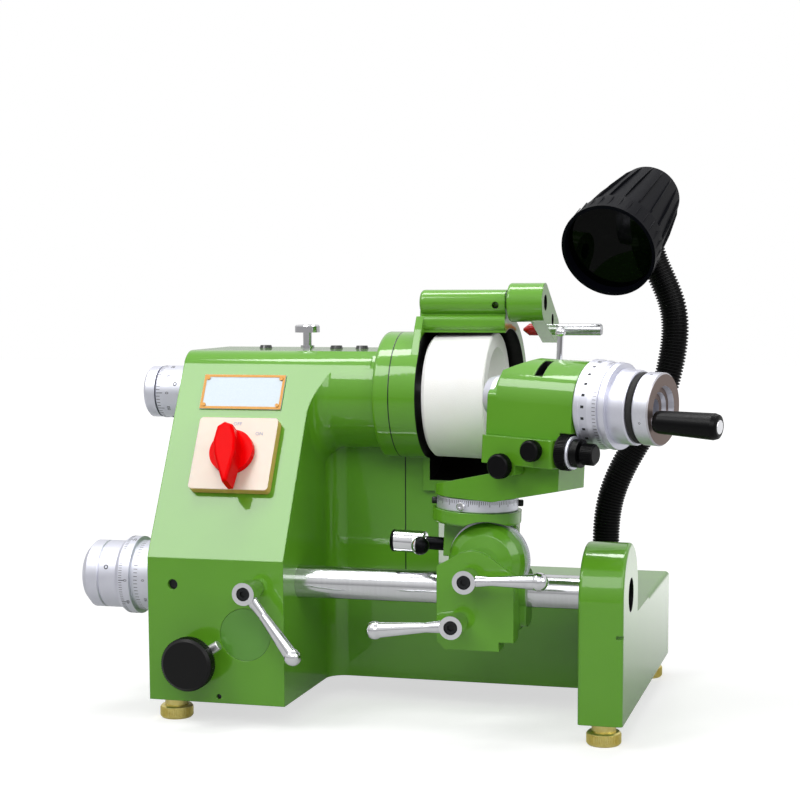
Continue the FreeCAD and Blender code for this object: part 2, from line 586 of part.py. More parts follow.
def clamp_lever(hub, tip, stem, hub_length):
    """Chrome clamp lever about Y: a hub with a socket screw, a tapered arm with a ball, and the clamp screw
    that reaches back from the hub. hub is the centre of the hub's front face."""
    root = point(hub[0], hub[1] + hub_length / 2, hub[2])
    ball = point(tip[0], root.y, tip[1])
    reach = (ball - root).Length
    arm = turned([(4, 0), (4, 5), (reach * 0.35, 3.6), (reach - 2, 5.8), (reach - 2, 0)], root, ball - root)
    body = fuse(rod(point(*hub), Y_AXIS, 8.6, hub_length), arm, Part.makeSphere(6.8, ball, ball - root))
    screw = turned([(0, 0), (0, 6.4), (stem[0], 6.4), (stem[0], stem[1]), (stem[2], stem[1]), (stem[2], 0)],
                   point(hub[0], hub[1] + hub_length - 0.5, hub[2]), Y_AXIS)
    socket = rod(point(hub[0], hub[1] - 1, hub[2]), Y_AXIS, 5.2, 4)
    hexagon = rod(point(hub[0], hub[1] + 2, hub[2]), Y_AXIS, 2.2, 5)
    return cut(fuse(body, screw), socket, hexagon)


def column_clamp_lever():
    return clamp_lever((88.5, -29, BAR_Z), (123.9, 43.5), (12.8, 5.0, 38.5), 16)


def carriage_lever_upper():
    return clamp_lever((254.2, -20, 104.5), (308, 106.0), (8, 4.0, 24), 15)


def carriage_lever_lower():
    return clamp_lever((245.4, -24, 71.7), (186.5, 66.0), (13, 4.0, 28), 15)


def swing_stop_knob():
    """Black knurled knob low on the column, with a short cross pin in its spindle."""
    outline = [(0, 0), (0, 18), (2, 20), (10, 20), (11, 19), (11, 9), (24.5, 9), (24.5, 5), (44, 5), (44, 0)]
    pin = rod(point(44, -8, 36.5), point(0.85, 0, 0.53), 3.8, 20)
    return fuse(turned(outline, point(40, -25, 33.5), Y_AXIS), rounded(pin, 1, lambda e: True))


def quill_lock_screw():
    """Thumb screw on top of the column that locks the quill."""
    outline = [(0, 0), (0, 4), (12, 4), (12, 5.5), (14.5, 5.5), (14.5, 3.5), (25, 3.5), (25, 10), (30, 10),
               (31, 9),
               (31, 0)]
    return turned(outline, point(91, 120, COLUMN_TOP - 11), Z_AXIS)


def carriage():
    """The casting that slides on the bar: a split sleeve, a front plate for the clamps and the round hub that
    the head tilts about."""
    x0, x1 = CARRIAGE_X
    sleeve = along_x(CARRIAGE_X, BAR_Y, BAR_Z, CARRIAGE_SLEEVE)
    y0, y1 = CARRIAGE_PLATE_Y
    outline = [(x0 + 6, 50), (275, 50), (275, 57), (286, 57), (286, 107), (266, 121), (244, 121), (x0, 112),
               (x0, 56)]
    plate = fuse(prism_y(outline, CARRIAGE_PLATE_Y), rod(point(254.5, y0, 104), Y_AXIS, 20, y1 - y0))
    link = box((x0, 286), (y1 - 1, BAR_Y), (BAR_Z - 28, BAR_Z))
    foot = box((x0, x1), (BAR_Y - 14, BAR_Y + 8), (BAR_Z - 26, BAR_Z))
    foot = rounded(foot, 7, lambda e: e.BoundBox.XLength > 20 and e.BoundBox.ZMax < BAR_Z - 20)
    hub = turned([(8, 0), (8, 12), (10, 21), (14, 26.5), (19, TILT_HUB_RADIUS),
                  (TILT_HUB_BACK, TILT_HUB_RADIUS), (TILT_HUB_BACK, 0)], point(TILT_X, 0, TILT_Z), Y_AXIS)
    solid = fuse(sleeve, plate, link, foot, hub)
    return cut(solid, along_x((x0 - 1, x1 + 1), BAR_Y, BAR_Z, BAR_RADIUS + RUNNING),
               rod(point(TILT_X, 12, TILT_Z), Y_AXIS, TILT_PIN_RADIUS + RUNNING, 30),
               rod(point(254.2, 0, 104.5), Y_AXIS, 4 + RUNNING, 22),
               rod(point(245.4, 0, 71.7), Y_AXIS, 4 + RUNNING, 22))


def tilt_scale_ring():
    ring = turned([(0, 8), (0, TILT_RING_RADIUS), (4.5, TILT_RING_RADIUS), (4.5, 8)],
                  point(TILT_X, TILT_HUB_BACK + 0.02, TILT_Z), Y_AXIS)
    return ring.cut(along_x((200, 330), BAR_Y, BAR_Z, CARRIAGE_SLEEVE + 0.02))


TILT = FreeCAD.Placement(point(0, 0, 0), FreeCAD.Rotation(Y_AXIS, TILT_ANGLE),
                         point(TILT_X, SWIVEL_Y, TILT_Z))
HEAD = TILT.multiply(FreeCAD.Placement(point(SWIVEL_X, SWIVEL_Y, 0), FreeCAD.Rotation(Z_AXIS, -SWIVEL_ANGLE)))


def placed(shape, frame):
    moved = shape.copy()
    moved.transformShape(frame.toMatrix(), True)
    return moved


def tilt_bracket():
    """The part that tilts on the hub: a pin, an upright behind the scale ring, and the swivel's collar."""
    back = TILT_HUB_BACK + 5.5
    outline = [(TILT_X - 5, TILT_Z - 2), (238, TILT_Z), (226, 114), (226, COLLAR_Z[0] + 2),
               (281, COLLAR_Z[0] + 2), (281, 119),
               (TILT_X + 5, TILT_Z - 2)]
    upright = prism_y(outline, (back, back + 14))
    pin = rod(point(TILT_X, 13, TILT_Z), Y_AXIS, TILT_PIN_RADIUS, back - 6)
    collar = rod(point(SWIVEL_X, SWIVEL_Y, COLLAR_Z[0]), Z_AXIS, COLLAR_RADIUS, COLLAR_Z[1] - COLLAR_Z[0])
    collar = rounded(collar, 2, lambda e: e.BoundBox.ZMax < COLLAR_Z[0] + 0.1)
    saddle = rod(point(TILT_X, -20, TILT_Z), Y_AXIS, TILT_RING_RADIUS + 0.7, back + 20)
    solid = fuse(cut(collar, saddle), upright, pin)
    solid = cut(solid, rod(point(SWIVEL_X, SWIVEL_Y, COLLAR_Z[0] + 3), Z_AXIS, 12 + RUNNING, 20),
                along_x((220, 245), back + 6, 122, 4 + RUNNING))
    return placed(solid, TILT)


def swivel_clamp_lever():
    """Chrome lever with a black screw that clamps the swivel, at the left of the bracket."""
    y = TILT_HUB_BACK + 11.5
    z = 122.0
    hub = rod(point(184, y, z), X_AXIS, 8.5, 27)
    hub = rounded(hub, 2, lambda e: True)
    ball = point(214, 9, z + 2)
    root = point(203, y, z)
    arm = turned([(3, 0), (3, 4.5), ((ball - root).Length, 5.5), ((ball - root).Length, 0)], root,
                 ball - root)
    screw = turned([(0, 0), (0, 5), (15, 5), (15, 4), (32, 4), (32, 0)], point(210, y, z), X_AXIS)
    return placed(fuse(hub, arm, Part.makeSphere(6.8, ball, ball - root), screw), TILT)


def swivel_scale_ring():
    """Graduated ring on the collar, with its pointer and two black grub screws."""
    ring = turned([(COLLAR_Z[1], 12.5), (COLLAR_Z[1], SWIVEL_RING_RADIUS),
                   (SWIVEL_RING_TOP, SWIVEL_RING_RADIUS),
                   (SWIVEL_RING_TOP, 12.5)], point(SWIVEL_X, SWIVEL_Y, 0), Z_AXIS)
    ring = rounded(ring, 0.8, lambda e: e.BoundBox.XLength > 50)
    return placed(ring, TILT)


def swivel_table():
    """The turntable: a round foot whose top ramps up to the block that carries the slide."""
    foot = rod(point(0, 0, SWIVEL_RING_TOP + GAP), Z_AXIS, TABLE_RADIUS, 40)
    arm = box((0, TABLE_END), (-TABLE_RADIUS, 6), (SWIVEL_RING_TOP + GAP, TABLE_TOP + 10))
    low = SWIVEL_RING_TOP + GAP
    side = [(-TABLE_RADIUS - 1, low), (TABLE_RADIUS, low), (TABLE_END, low + 13), (TABLE_END, TABLE_TOP),
            (36, TABLE_TOP), (36, TABLE_TOP - 7), (-TABLE_RADIUS - 1, low + 5)]
    solid = fuse(foot, arm).common(prism_y(side, (-60, 60)))
    rib = face_of([point(36, w, z) for w, z in dovetail(0)]).extrude(X_AXIS * (TABLE_END - 36))
    return placed(fuse(solid, rib, rod(point(0, 0, COLLAR_Z[0] + 4), Z_AXIS, 12, 20)), HEAD)


def dovetail(gap):
    """The slide's dovetail section, opened by a gap on each side."""
    foot, crown, height = 7 + gap, 10 + gap, 7 + gap
    return [(HEAD_W - foot, TABLE_TOP - 0.5), (HEAD_W - crown, TABLE_TOP + height),
            (HEAD_W + crown, TABLE_TOP + height),
            (HEAD_W + foot, TABLE_TOP - 0.5)]


def cross_slide():
    block = box(SLIDE_U, SLIDE_W, (TABLE_TOP + GAP, SLIDE_TOP))
    block = rounded(block, 3, lambda e: e.BoundBox.ZLength > 10 and e.BoundBox.YMax < 0)
    lug = box((42, 58), (SLIDE_W[0], -TABLE_RADIUS - 1.5), (183.5, TABLE_TOP + 2))
    block = fuse(block, rounded(lug, 4, lambda e: e.BoundBox.YLength > 8 and e.BoundBox.ZMax < 184))
    groove = face_of([point(SLIDE_U[0] - 1, w, z) for w, z in dovetail(0.4)]).extrude(X_AXIS * 80)
    return placed(cut(block, groove, rod(point(75, SLIDE_W[0] - 1, 204), Y_AXIS, 3 + RUNNING, 6),
                      rod(point(50, SLIDE_W[0] - 1, 191), Y_AXIS, 3 + RUNNING, 14),
                      rod(point(SLIDE_U[1] - 20, KNOB_W, KNOB_Z), X_AXIS, 4 + RUNNING, 30)), HEAD)


def thumb_screw(u, z, radius, reach):
    """Black thumb screw in the front of the slide."""
    outline = [(0, 0), (0, radius - 1), (1, radius), (7, radius), (7, 5), (11.2, 5), (11.2, 3),
               (11.5 + reach, 3),
               (11.5 + reach, 0)]
    return placed(turned(outline, point(u, SLIDE_W[0] - 11.5, z), Y_AXIS), HEAD)


def slide_lock_screw():
    return thumb_screw(75, 204, 7.2, 4.5)


def table_lock_screw():
    return thumb_screw(50, 191, 8.5, 10.5)


def slide_micrometer_knob():
    """Black micrometer knob of the slide: a screw, a thimble and a knurled end."""
    outline = [(-16, 0), (-16, 4), (0.5, 4), (0.5, 7), (2, 7), (2, 12.4), (10, 12.4), (10, 8.5), (12.5, 8.5),
               (12.5, 10),
               (18, 10), (18, 6), (19.5, 6), (19.5, 7.2), (28, 7.2), (29, 6.2), (29, 0)]
    return placed(turned(outline, point(SLIDE_U[1], KNOB_W, KNOB_Z), X_AXIS), HEAD)


def workhead_body():
    """The work-head: an arched block with a lower nose, a slot for the index pin, and the spindle bore."""
    half = (HEAD_W - HEAD_RADIUS, HEAD_W + HEAD_RADIUS)
    arch = fuse(rod(point(36, HEAD_W, HEAD_Z), X_AXIS, HEAD_RADIUS, HEAD_U[1] - 36),
                box((36, HEAD_U[1]), half, (SLIDE_TOP, HEAD_Z)))
    arch = arch.common(box(HEAD_U, (-60, 60), (SLIDE_TOP, 300)))
    slope = prism_y([(30, 284), (30, 254), (35, 257), (56, 267), (60, 284)], (-60, 60))
    nose = fuse(rod(point(HEAD_U[0], HEAD_W, HEAD_Z), X_AXIS, 21, 12),
                box((HEAD_U[0], 37), half, (SLIDE_TOP, HEAD_Z + 7)))
    nose = rounded(nose, 5,
                   lambda e: e.BoundBox.XLength > 6 and e.BoundBox.ZMin > HEAD_Z + 6
                   and e.BoundBox.YLength < 1)
    solid = fuse(arch.cut(slope), nose)
    return placed(cut(solid, rod(point(0, HEAD_W, HEAD_Z), X_AXIS, WORK_SHAFT_RADIUS + RUNNING, 120),
                      box((63, 70), (half[0] - 1, HEAD_W - 7), (255, 280)),
                      box((89.4, HEAD_U[1] + 1), (half[0] - 1, KNOB_W + 14), (SLIDE_TOP - 1, KNOB_Z + 13.2)),
                      rod(point(68.5, HEAD_W + 2, 254), Z_AXIS, 2.2 + RUNNING, 40)), HEAD)


def index_pin():
    """Spring pin that drops into the index ring, with a ball to lift it by."""
    outline = [(255, 0), (255, 2.2), (284, 2.2), (284, 0)]
    return placed(fuse(turned(outline, point(68.5, HEAD_W + 2, 0), Z_AXIS),
                       Part.makeSphere(3.8, point(68.5, HEAD_W + 2, 286))), HEAD)


def head_turned(outline):
    return placed(turned(outline, point(0, HEAD_W, HEAD_Z), X_AXIS), HEAD)


def work_spindle():
    """The hollow spindle, with its shoulder drum and rubber ring land at the handwheel end."""
    return head_turned([(15, WORK_BORE_RADIUS), (15, 14), (22, WORK_SHAFT_RADIUS), (122.6, WORK_SHAFT_RADIUS),
                        (122.6, 26.5), (135, 26.5), (136, 25.5), (136, 22), (141.5, 22),
                        (141.5, WORK_BORE_RADIUS)])


def index_ring():
    """Graduated index ring with its flange, keyed to the spindle."""
    return head_turned([(98.6, WORK_SHAFT_RADIUS), (98.6, 30.5), (100, INDEX_RADIUS), (103, INDEX_RADIUS),
                        (103.5, 31.5),
                        (110, 31.5), (113, 30.5), (117, 30.5), (117.5, 29.5), (118.5, 29.5), (119, 31),
                        (122.6, 30.5),
                        (122.6, WORK_SHAFT_RADIUS)])


def collet_handwheel():
    """Handwheel that draws the collet in, with the stud of the crank handle."""
    u0, u1 = HANDWHEEL_U
    disc = turned([(u0 + 0.05, WORK_BORE_RADIUS), (u0 + 0.05, 25), (u0 + 1, HANDWHEEL_RADIUS),
                   (u1 - 1, HANDWHEEL_RADIUS),
                   (u1, 24.6), (u1, 16.5), (u1 - 4, 15.5), (u1 - 4, 12), (u1 - 7, 11),
                   (u1 - 7, WORK_BORE_RADIUS)], point(0, HEAD_W, HEAD_Z), X_AXIS)
    stud = rod(point(u1 - 6, HANDLE_W, HANDLE_Z), X_AXIS, 3.5, 46)
    return placed(fuse(disc, stud), HEAD)


def crank_handle():
    length = HANDLE_U[1] - HANDLE_U[0]
    outline = [(0, 3.5 + RUNNING), (0, 7.2), (3, 8), (length - 4, HANDLE_RADIUS),
               (length - 1, HANDLE_RADIUS - 1),
               (length, HANDLE_RADIUS - 3), (length, 0), (length - 9, 0), (length - 9, 3.5 + RUNNING)]
    return placed(turned(outline, point(HANDLE_U[0], HANDLE_W, HANDLE_Z), X_AXIS), HEAD)


def dresser_arm():
    """Swinging arm on the guard's boss: a round block, and a plate that reaches back to the diamond."""
    plate_x = (DRESSER_X[1] - DRESSER_PLATE, DRESSER_X[1])
    block = along_x(DRESSER_X, BOSS_Y, BOSS_Z, DRESSER_RADIUS)
    block = rounded(block, 2, lambda e: e.BoundBox.XMax < DRESSER_X[0] + 0.1)
    end = along_x(plate_x, DRESSER_END_Y, DRESSER_END_Z, 10.5)
    fall = math.atan2(BOSS_Z - DRESSER_END_Z, DRESSER_END_Y - BOSS_Y)
    across = (math.sin(fall), math.cos(fall))
    corners = [(y + side * r * across[0], z + side * r * across[1])
               for side, ends in ((1, (0, 1)), (-1, (1, 0)))
               for y, z, r in [((BOSS_Y, BOSS_Z, DRESSER_RADIUS), (DRESSER_END_Y, DRESSER_END_Z, 10.5))[k]
                               for k in ends]]
    pin = along_x((GUARD_END_X - 20, DRESSER_X[0] + 1), BOSS_Y, BOSS_Z, 5)
    solid = fuse(block, prism_x(corners, plate_x), end, pin)
    return cut(solid, along_x((DRESSER_X[1] - 6, DRESSER_X[1] + 1), BOSS_Y, BOSS_Z, 6.2),
               along_x((DRESSER_X[1] - 5, DRESSER_X[1] + 1), BOSS_Y + 30, BOSS_Z - 13.5, 4.5),
               along_x((plate_x[0] - 1, plate_x[1] + 1), DRESSER_END_Y, DRESSER_END_Z, DIAMOND_RADIUS))


def diamond_dresser():
    """The diamond's shank: a red nose that points at the wheel, and a plain rod to hold."""
    x0, x1 = DIAMOND_X
    outline = [(x0, 0), (x0, 1), (x0 + 5, DIAMOND_RADIUS), (x1 - 1, DIAMOND_RADIUS),
               (x1, DIAMOND_RADIUS - 1), (x1, 0)]
    return turned(outline, point(0, DRESSER_END_Y, DRESSER_END_Z), X_AXIS)


def lamp_base():
    outline = [(0, 0), (0, 19), (5, 19), (7, 17), (7, 13), (24, 13), (24, 11.3), (16, 11.3), (16, 0)]
    return turned(outline, point(LAMP_BASE_X, LAMP_BASE_Y, REAR_BOX_HEIGHT), Z_AXIS)


def neck_curve():
    """The gooseneck's centre line, upright where it leaves the base and square to the lamp at its end."""
    points = [point(x, LAMP_BASE_Y, z) for x, z in NECK_POINTS]
    curve = Part.BSplineCurve()
    curve.interpolate(Points=points, InitialTangent=points[1] - points[0],
                      FinalTangent=points[-1] - points[-2])
    return curve


def tube_through(rings):
    """A solid through circles, each a centre, a direction and a radius."""
    wires = []
    for centre, direction, radius in rings:
        circle = Part.Circle(centre, direction, radius)
        circle.XAxis = Y_AXIS
        wires.append(Part.Wire(circle.toShape()))
    return Part.makeLoft(wires, True, True)


def gooseneck():
    """The lamp's ribbed steel hose: each rib rises from the root to a flat crest and falls again."""
    curve = neck_curve()
    span = curve.length()
    straight = 2 * NECK_RADIUS / span

    def ring(share, radius):
        at = curve.parameterAtDistance(span * share)
        direction = FreeCAD.Vector(*curve.tangent(at)[0])
        if share < straight:
            direction = Z_AXIS
        return curve.value(at), direction, radius

    pitch = 1.0 / NECK_RIBS
    steps = ((0.0, NECK_ROOT_RADIUS), (0.2, NECK_RADIUS), (0.6, NECK_RADIUS), (0.8, NECK_ROOT_RADIUS))
    ribs = [ring((k + part) * pitch, radius) for k in range(NECK_RIBS) for part, radius in steps]
    hose = tube_through(ribs)
    bore = tube_through([ring(min(k / 60.0, 1.0), NECK_BORE) for k in range(61)])
    return hose.cut(bore)


LAMP_AXIS = (point(*LAMP_BACK) - point(*LAMP_FRONT)).normalize()
LAMP_LENGTH = (point(*LAMP_BACK) - point(*LAMP_FRONT)).Length


def lamp_turned(outline):
    return turned(outline, point(*LAMP_FRONT), LAMP_AXIS)


def lamp_head():
    """The lamp's shell: a tapered housing with ribs along it and a collar for the gooseneck."""
    end = LAMP_LENGTH
    body = lamp_turned([(18, 32.5), (18, 35), (24, 34.5), (end - 2, LAMP_BACK_RADIUS), (end + 3, 23),
                        (end + 7, 17),
                        (end + 8, 0), (end + 3, 0), (end - 3, 20), (24, 31)])
    neck_end = point(NECK_POINTS[-1][0], LAMP_BASE_Y, NECK_POINTS[-1][1])
    falling = (neck_end - point(NECK_POINTS[-2][0], LAMP_BASE_Y, NECK_POINTS[-2][1])).normalize()
    collar = rod(neck_end + falling * 0.3, falling, 12.5, 20)
    inside = lamp_turned([(0, 0), (0, 31), (24, 31), (end - 3, 20), (end + 3, 0)])
    hose = rod(neck_end + falling * 0.3, -falling, NECK_RADIUS + GAP, 30)
    return fuse(body, collar.cut(inside)).cut(hose)


def lamp_rim():
    """The hood ring that holds the glass."""
    return lamp_turned([(0, 35), (0, LAMP_RADIUS), (20, LAMP_RADIUS - 1.5), (24, 36), (24, 35.1),
                        (17.9, 35.1), (17.9, 30),
                        (12.1, 30), (12.1, 35)])


def lamp_lens():
    return lamp_turned([(9, 0), (9, 34.9), (12, 34.9), (12, 0)])


def lamp_bulb():
    """Reflector bulb with its holder."""
    return lamp_turned([(34, 0), (34, 22), (36, 22), (56, 10), (80, 10), (80, 0)])


MAKERS = [machine_bed, wheel_guard, rear_cover, cover_screws, bottom_plate, levelling_feet, name_plate,
          plate_rivets,
          switch_plate, switch_body, switch_knob, casting_plugs, set_screws, cable_gland, motor_housing,
          motor_rotor,
          motor_pulley, drive_belt, quill_sleeve, spindle_bearings, spindle_shaft, spindle_pulley,
          wheel_flange,
          grinding_wheel, wheel_nut, spindle_feed_barrel, spindle_feed_dial, bar_feed_barrel, bar_feed_dial,
          bar_feed_screw, guide_bar, column_clamp_lever, carriage_lever_upper, carriage_lever_lower,
          swing_stop_knob,
          quill_lock_screw, carriage, tilt_scale_ring, tilt_bracket, swivel_clamp_lever, swivel_scale_ring,
          swivel_table, cross_slide, slide_lock_screw, table_lock_screw, slide_micrometer_knob, workhead_body,
          index_pin, work_spindle, index_ring, collet_handwheel, crank_handle, dresser_arm, diamond_dresser,
          lamp_base, gooseneck, lamp_head, lamp_rim, lamp_lens, lamp_bulb]

os.makedirs("parts", exist_ok=True)
pieces = {maker.__name__: maker() for maker in MAKERS}
whole = group(list(pieces.values())).optimalBoundingBox(False)
SHIFT = point(-(whole.XMin + whole.XMax) / 2, -(whole.YMin + whole.YMax) / 2, FOOT_HEIGHT)
for name, shape in pieces.items():
    if not shape.isValid() or any(solid.Volume <= 0 for solid in shape.Solids):
        raise ValueError(name + " is not a sound solid")
    shape.translate(SHIFT)
    shape.exportStep("parts/" + name + ".step")
print("pieces", len(pieces), "shift", SHIFT, "size", whole.XLength, whole.YLength, whole.ZLength)
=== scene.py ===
import math
import bpy
import bmesh
from mathutils import Matrix, Vector


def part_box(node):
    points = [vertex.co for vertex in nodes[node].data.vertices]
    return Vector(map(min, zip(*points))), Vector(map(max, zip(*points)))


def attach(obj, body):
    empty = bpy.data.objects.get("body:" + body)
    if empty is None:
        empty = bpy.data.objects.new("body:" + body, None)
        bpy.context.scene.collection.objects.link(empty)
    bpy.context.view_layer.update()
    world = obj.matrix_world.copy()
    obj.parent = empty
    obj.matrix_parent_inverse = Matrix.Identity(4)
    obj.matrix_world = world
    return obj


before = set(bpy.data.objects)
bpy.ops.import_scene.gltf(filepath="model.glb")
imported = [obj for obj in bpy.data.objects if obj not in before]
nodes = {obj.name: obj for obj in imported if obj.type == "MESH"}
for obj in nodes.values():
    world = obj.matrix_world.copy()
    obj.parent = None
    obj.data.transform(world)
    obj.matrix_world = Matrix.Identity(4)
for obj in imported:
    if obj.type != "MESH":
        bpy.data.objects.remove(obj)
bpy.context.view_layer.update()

scene = bpy.context.scene

# Drawing frame: the pieces are drawn in millimetres from the column's lower left front corner.
# The guide bar, which starts 2 mm in and lies 38.5 mm back and 90.5 mm up, gives where that corner is.
bar_low, bar_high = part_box("guide_bar")
bar_middle = (bar_low + bar_high) / 2
DATUM = Vector((bar_low.x - 0.002, bar_middle.y - 0.0385, bar_middle.z - 0.0905))
DRAWN = Matrix.Translation(DATUM) @ Matrix.Scale(0.001, 4)


def drawn(x, y, z):
    """A place on the drawing, in metres in the shared frame."""
    return DRAWN @ Vector((x, y, z))


# Camera: level with the upper part of the machine, to its front and right, through a long lens. The lens is
# shifted so that the machine sits low in a square picture.
EYE = drawn(546.9, -1240.7, 317.1)
LOOK = Vector((-0.25797, 0.96002, -0.10872))
RIGHT = Vector((0.96583, 0.25916, -0.00334))
UP = Vector((-0.02497, 0.10586, 0.99407))
lens = bpy.data.cameras.new("front_right_view")
lens.sensor_width = 36.0
lens.lens = 79.45
lens.shift_x = -0.0196
lens.shift_y = 0.0986
viewer = bpy.data.objects.new("front_right_view", lens)
viewer.matrix_world = Matrix.Translation(EYE) @ Matrix((RIGHT, UP, -LOOK)).transposed().to_4x4()
scene.collection.objects.link(viewer)
scene.camera = viewer
scene.view_settings.view_transform = "Standard"


# Studio: white surroundings and four lights. One softbox is mirrored in the leaning panel, one lights the
# front, one the rounded castings from the right, and a narrow strip overhead draws the long lights on the
# bar, the boss and the head. Bright pieces mirror a room that is paler above and behind than its fill.
def linear(code):
    """An sRGB hex colour as linear light."""
    parts = [int(code[i:i + 2], 16) / 255 for i in (1, 3, 5)]
    return [c / 12.92 if c <= 0.04045 else ((c + 0.055) / 1.055) ** 2.4 for c in parts] + [1.0]


def add(tree, kind, values=None, links=None):
    """One node, with its settings or socket values, and what feeds its sockets. On a colour mix, socket 0 is
    the share, and 6 and 7 are the colours. On a map range, 1 and 2 are the range read, and 3 and 4 the range
    given."""
    node = tree.nodes.new(kind)
    for key, value in (values or {}).items():
        if isinstance(key, str) and key not in node.inputs:
            setattr(node, key, value)
        else:
            node.inputs[key].default_value = value
    for key, source in (links or {}).items():
        tree.links.new(source, node.inputs[key])
    return node


def softbox(name, place, target, size, brightness):
    """A flat lamp of a given brightness; white paper is 1."""
    lamp = bpy.data.lights.new(name, "AREA")
    lamp.shape = "RECTANGLE"
    lamp.size, lamp.size_y = size
    lamp.energy = brightness * math.pi * size[0] * size[1]
    holder = bpy.data.objects.new(name, lamp)
    holder.location = place
    holder.rotation_euler = (Vector(target) - Vector(place)).to_track_quat("-Z", "Y").to_euler()
    holder.visible_camera = False
    scene.collection.objects.link(holder)


panel_middle = drawn(55, 44, 190)
softbox("panel_softbox", panel_middle + Vector((-0.44, -0.71, 0.92)), panel_middle, (0.6, 0.46), 7.0)
softbox("front_softbox", (0.35, -1.5, 1.15), (0.1, 0.0, 0.15), (1.1, 0.8), 3.4)
softbox("right_softbox", (1.15, -0.55, 0.75), (0.1, 0.0, 0.15), (0.7, 0.8), 2.9)
softbox("overhead_strip", (-0.1, 0.1, 1.4), (0.0, 0.0, 0.2), (1.3, 0.2), 13.0)

world = bpy.data.worlds.new("white_room")
world.use_nodes = True
scene.world = world
room = world.node_tree
ray = add(room, "ShaderNodeLightPath")
FILL = 0.19
MIRRORED_LOW = 0.28
MIRRORED_ABOVE = 0.9
MIRRORED_BEHIND = 0.55
aim = add(room, "ShaderNodeSeparateXYZ", {}, {0: add(room, "ShaderNodeTexCoord").outputs["Generated"]})
above = add(room, "ShaderNodeMapRange", {1: -0.15, 2: 0.4, 3: MIRRORED_LOW, 4: MIRRORED_ABOVE},
            {0: aim.outputs[2]})
behind = add(room, "ShaderNodeMapRange", {1: 0.1, 2: 0.7, 3: MIRRORED_LOW, 4: MIRRORED_BEHIND},
             {0: aim.outputs[1]})
mirrored = add(room, "ShaderNodeMath", {"operation": "MAXIMUM"}, {0: above.outputs[0], 1: behind.outputs[0]})
mirrored = add(room, "ShaderNodeMath", {"operation": "MULTIPLY"}, {0: mirrored.outputs[0],
                                                                  1: ray.outputs["Is Glossy Ray"]})
seen = add(room, "ShaderNodeMath", {"operation": "MAXIMUM"}, {0: ray.outputs["Is Camera Ray"],
                                                             1: ray.outputs["Is Transmission Ray"]})
seen = add(room, "ShaderNodeMath", {"operation": "MAXIMUM"}, {0: seen.outputs[0], 1: mirrored.outputs[0]})
level = add(room, "ShaderNodeMath", {"operation": "MAXIMUM", 1: FILL}, {0: seen.outputs[0]})
sky = room.nodes["Background"]
sky.inputs["Color"].default_value = linear("#ffffff")
room.links.new(level.outputs[0], sky.inputs["Strength"])

floor_mesh = bpy.data.meshes.new("floor")
HALF = 6.0
floor_corners = [(-HALF, -HALF, 0), (HALF, -HALF, 0), (HALF, HALF, 0), (-HALF, HALF, 0)]
floor_mesh.from_pydata(floor_corners, [], [(0, 1, 2, 3)])
floor = bpy.data.objects.new("floor", floor_mesh)
scene.collection.objects.link(floor)
paper = bpy.data.materials.new("white_paper_sweep")
paper.use_nodes = True
tree = paper.node_tree
ray = add(tree, "ShaderNodeLightPath")
here = add(tree, "ShaderNodeTexCoord").outputs["Object"]
away = add(tree, "ShaderNodeVectorMath", {"operation": "LENGTH"}, {0: here})
clear = add(tree, "ShaderNodeMapRange", {1: 0.4, 2: 1.8, 3: 0.62, 4: 1.0}, {0: away.outputs["Value"]})
across = add(tree, "ShaderNodeSeparateXYZ", {}, {0: here})
rear = add(tree, "ShaderNodeMapRange", {1: 0.1, 2: 0.6, 3: 0.1, 4: 0.9}, {0: across.outputs[1]})
seen = add(tree, "ShaderNodeMath", {"operation": "MULTIPLY"},
           {0: ray.outputs["Is Camera Ray"], 1: clear.outputs[0]})
glow = add(tree, "ShaderNodeMath", {"operation": "MULTIPLY_ADD"},
           {0: ray.outputs["Is Glossy Ray"], 1: rear.outputs[0], 2: seen.outputs[0]})
shade = tree.nodes["Principled BSDF"]
shade.inputs["Base Color"].default_value = linear("#b8b8b8")
shade.inputs["Roughness"].default_value = 0.9
shade.inputs["Specular IOR Level"].default_value = 0.1
shade.inputs["Emission Color"].default_value = linear("#ffffff")
tree.links.new(glow.outputs[0], shade.inputs["Emission Strength"])
floor_mesh.materials.append(paper)


# Main casting and everything painted with it: grey iron castings, filled, sprayed with gloss machine enamel
# and baked. The wheel guard is bolted to the housing, which leaves a thin dark joint round the flange.
def finish(name, **values):
    """A new material: its tree, its shader and the piece's own coordinates."""
    material = bpy.data.materials.new(name)
    material.use_nodes = True
    tree = material.node_tree
    shader = tree.nodes["Principled BSDF"]
    for key, value in values.items():
        shader.inputs[key.replace("_", " ")].default_value = value
    return material, tree, shader, add(tree, "ShaderNodeTexCoord").outputs["Object"]


def paint(node, material):
    """Put a finish on a CAD node."""
    nodes[node].data.materials.clear()
    nodes[node].data.materials.append(material)


JOINT_X = drawn(173.6, 0, 0).x
JOINT_LOW = drawn(0, 0, 72.2).z
JOINT_BACK = drawn(0, 180, 0).y
CLOUD_MM = 55.6
PEEL_MM = 3.03
SOFT_EDGE = 0.0011
ROUND_X = (0, 1, 1)
ROUND_Y = (1, 0, 1)
# Each bore, painted black inside as painted shade of the hollow: the middle of its mouth, the directions
# across it, its radius, its axis and the side it lies on.
WHEEL_ROOM = (drawn(194.7, 116, 223.5), ROUND_X, 0.0605, 0, "GREATER_THAN")
OIL_HOLE = (drawn(252, 100.5, 302), ROUND_Y, 0.0027, 1, "LESS_THAN")
BAR_BORE = (drawn(342, 38.5, 90.5), ROUND_X, 0.0129, 0, "GREATER_THAN")
ARM_HOLES = [(drawn(283.2, 104, 304), ROUND_X, 0.0063, 0, "GREATER_THAN"),
             (drawn(284.2, 134, 290.5), ROUND_X, 0.0046, 0, "GREATER_THAN")]


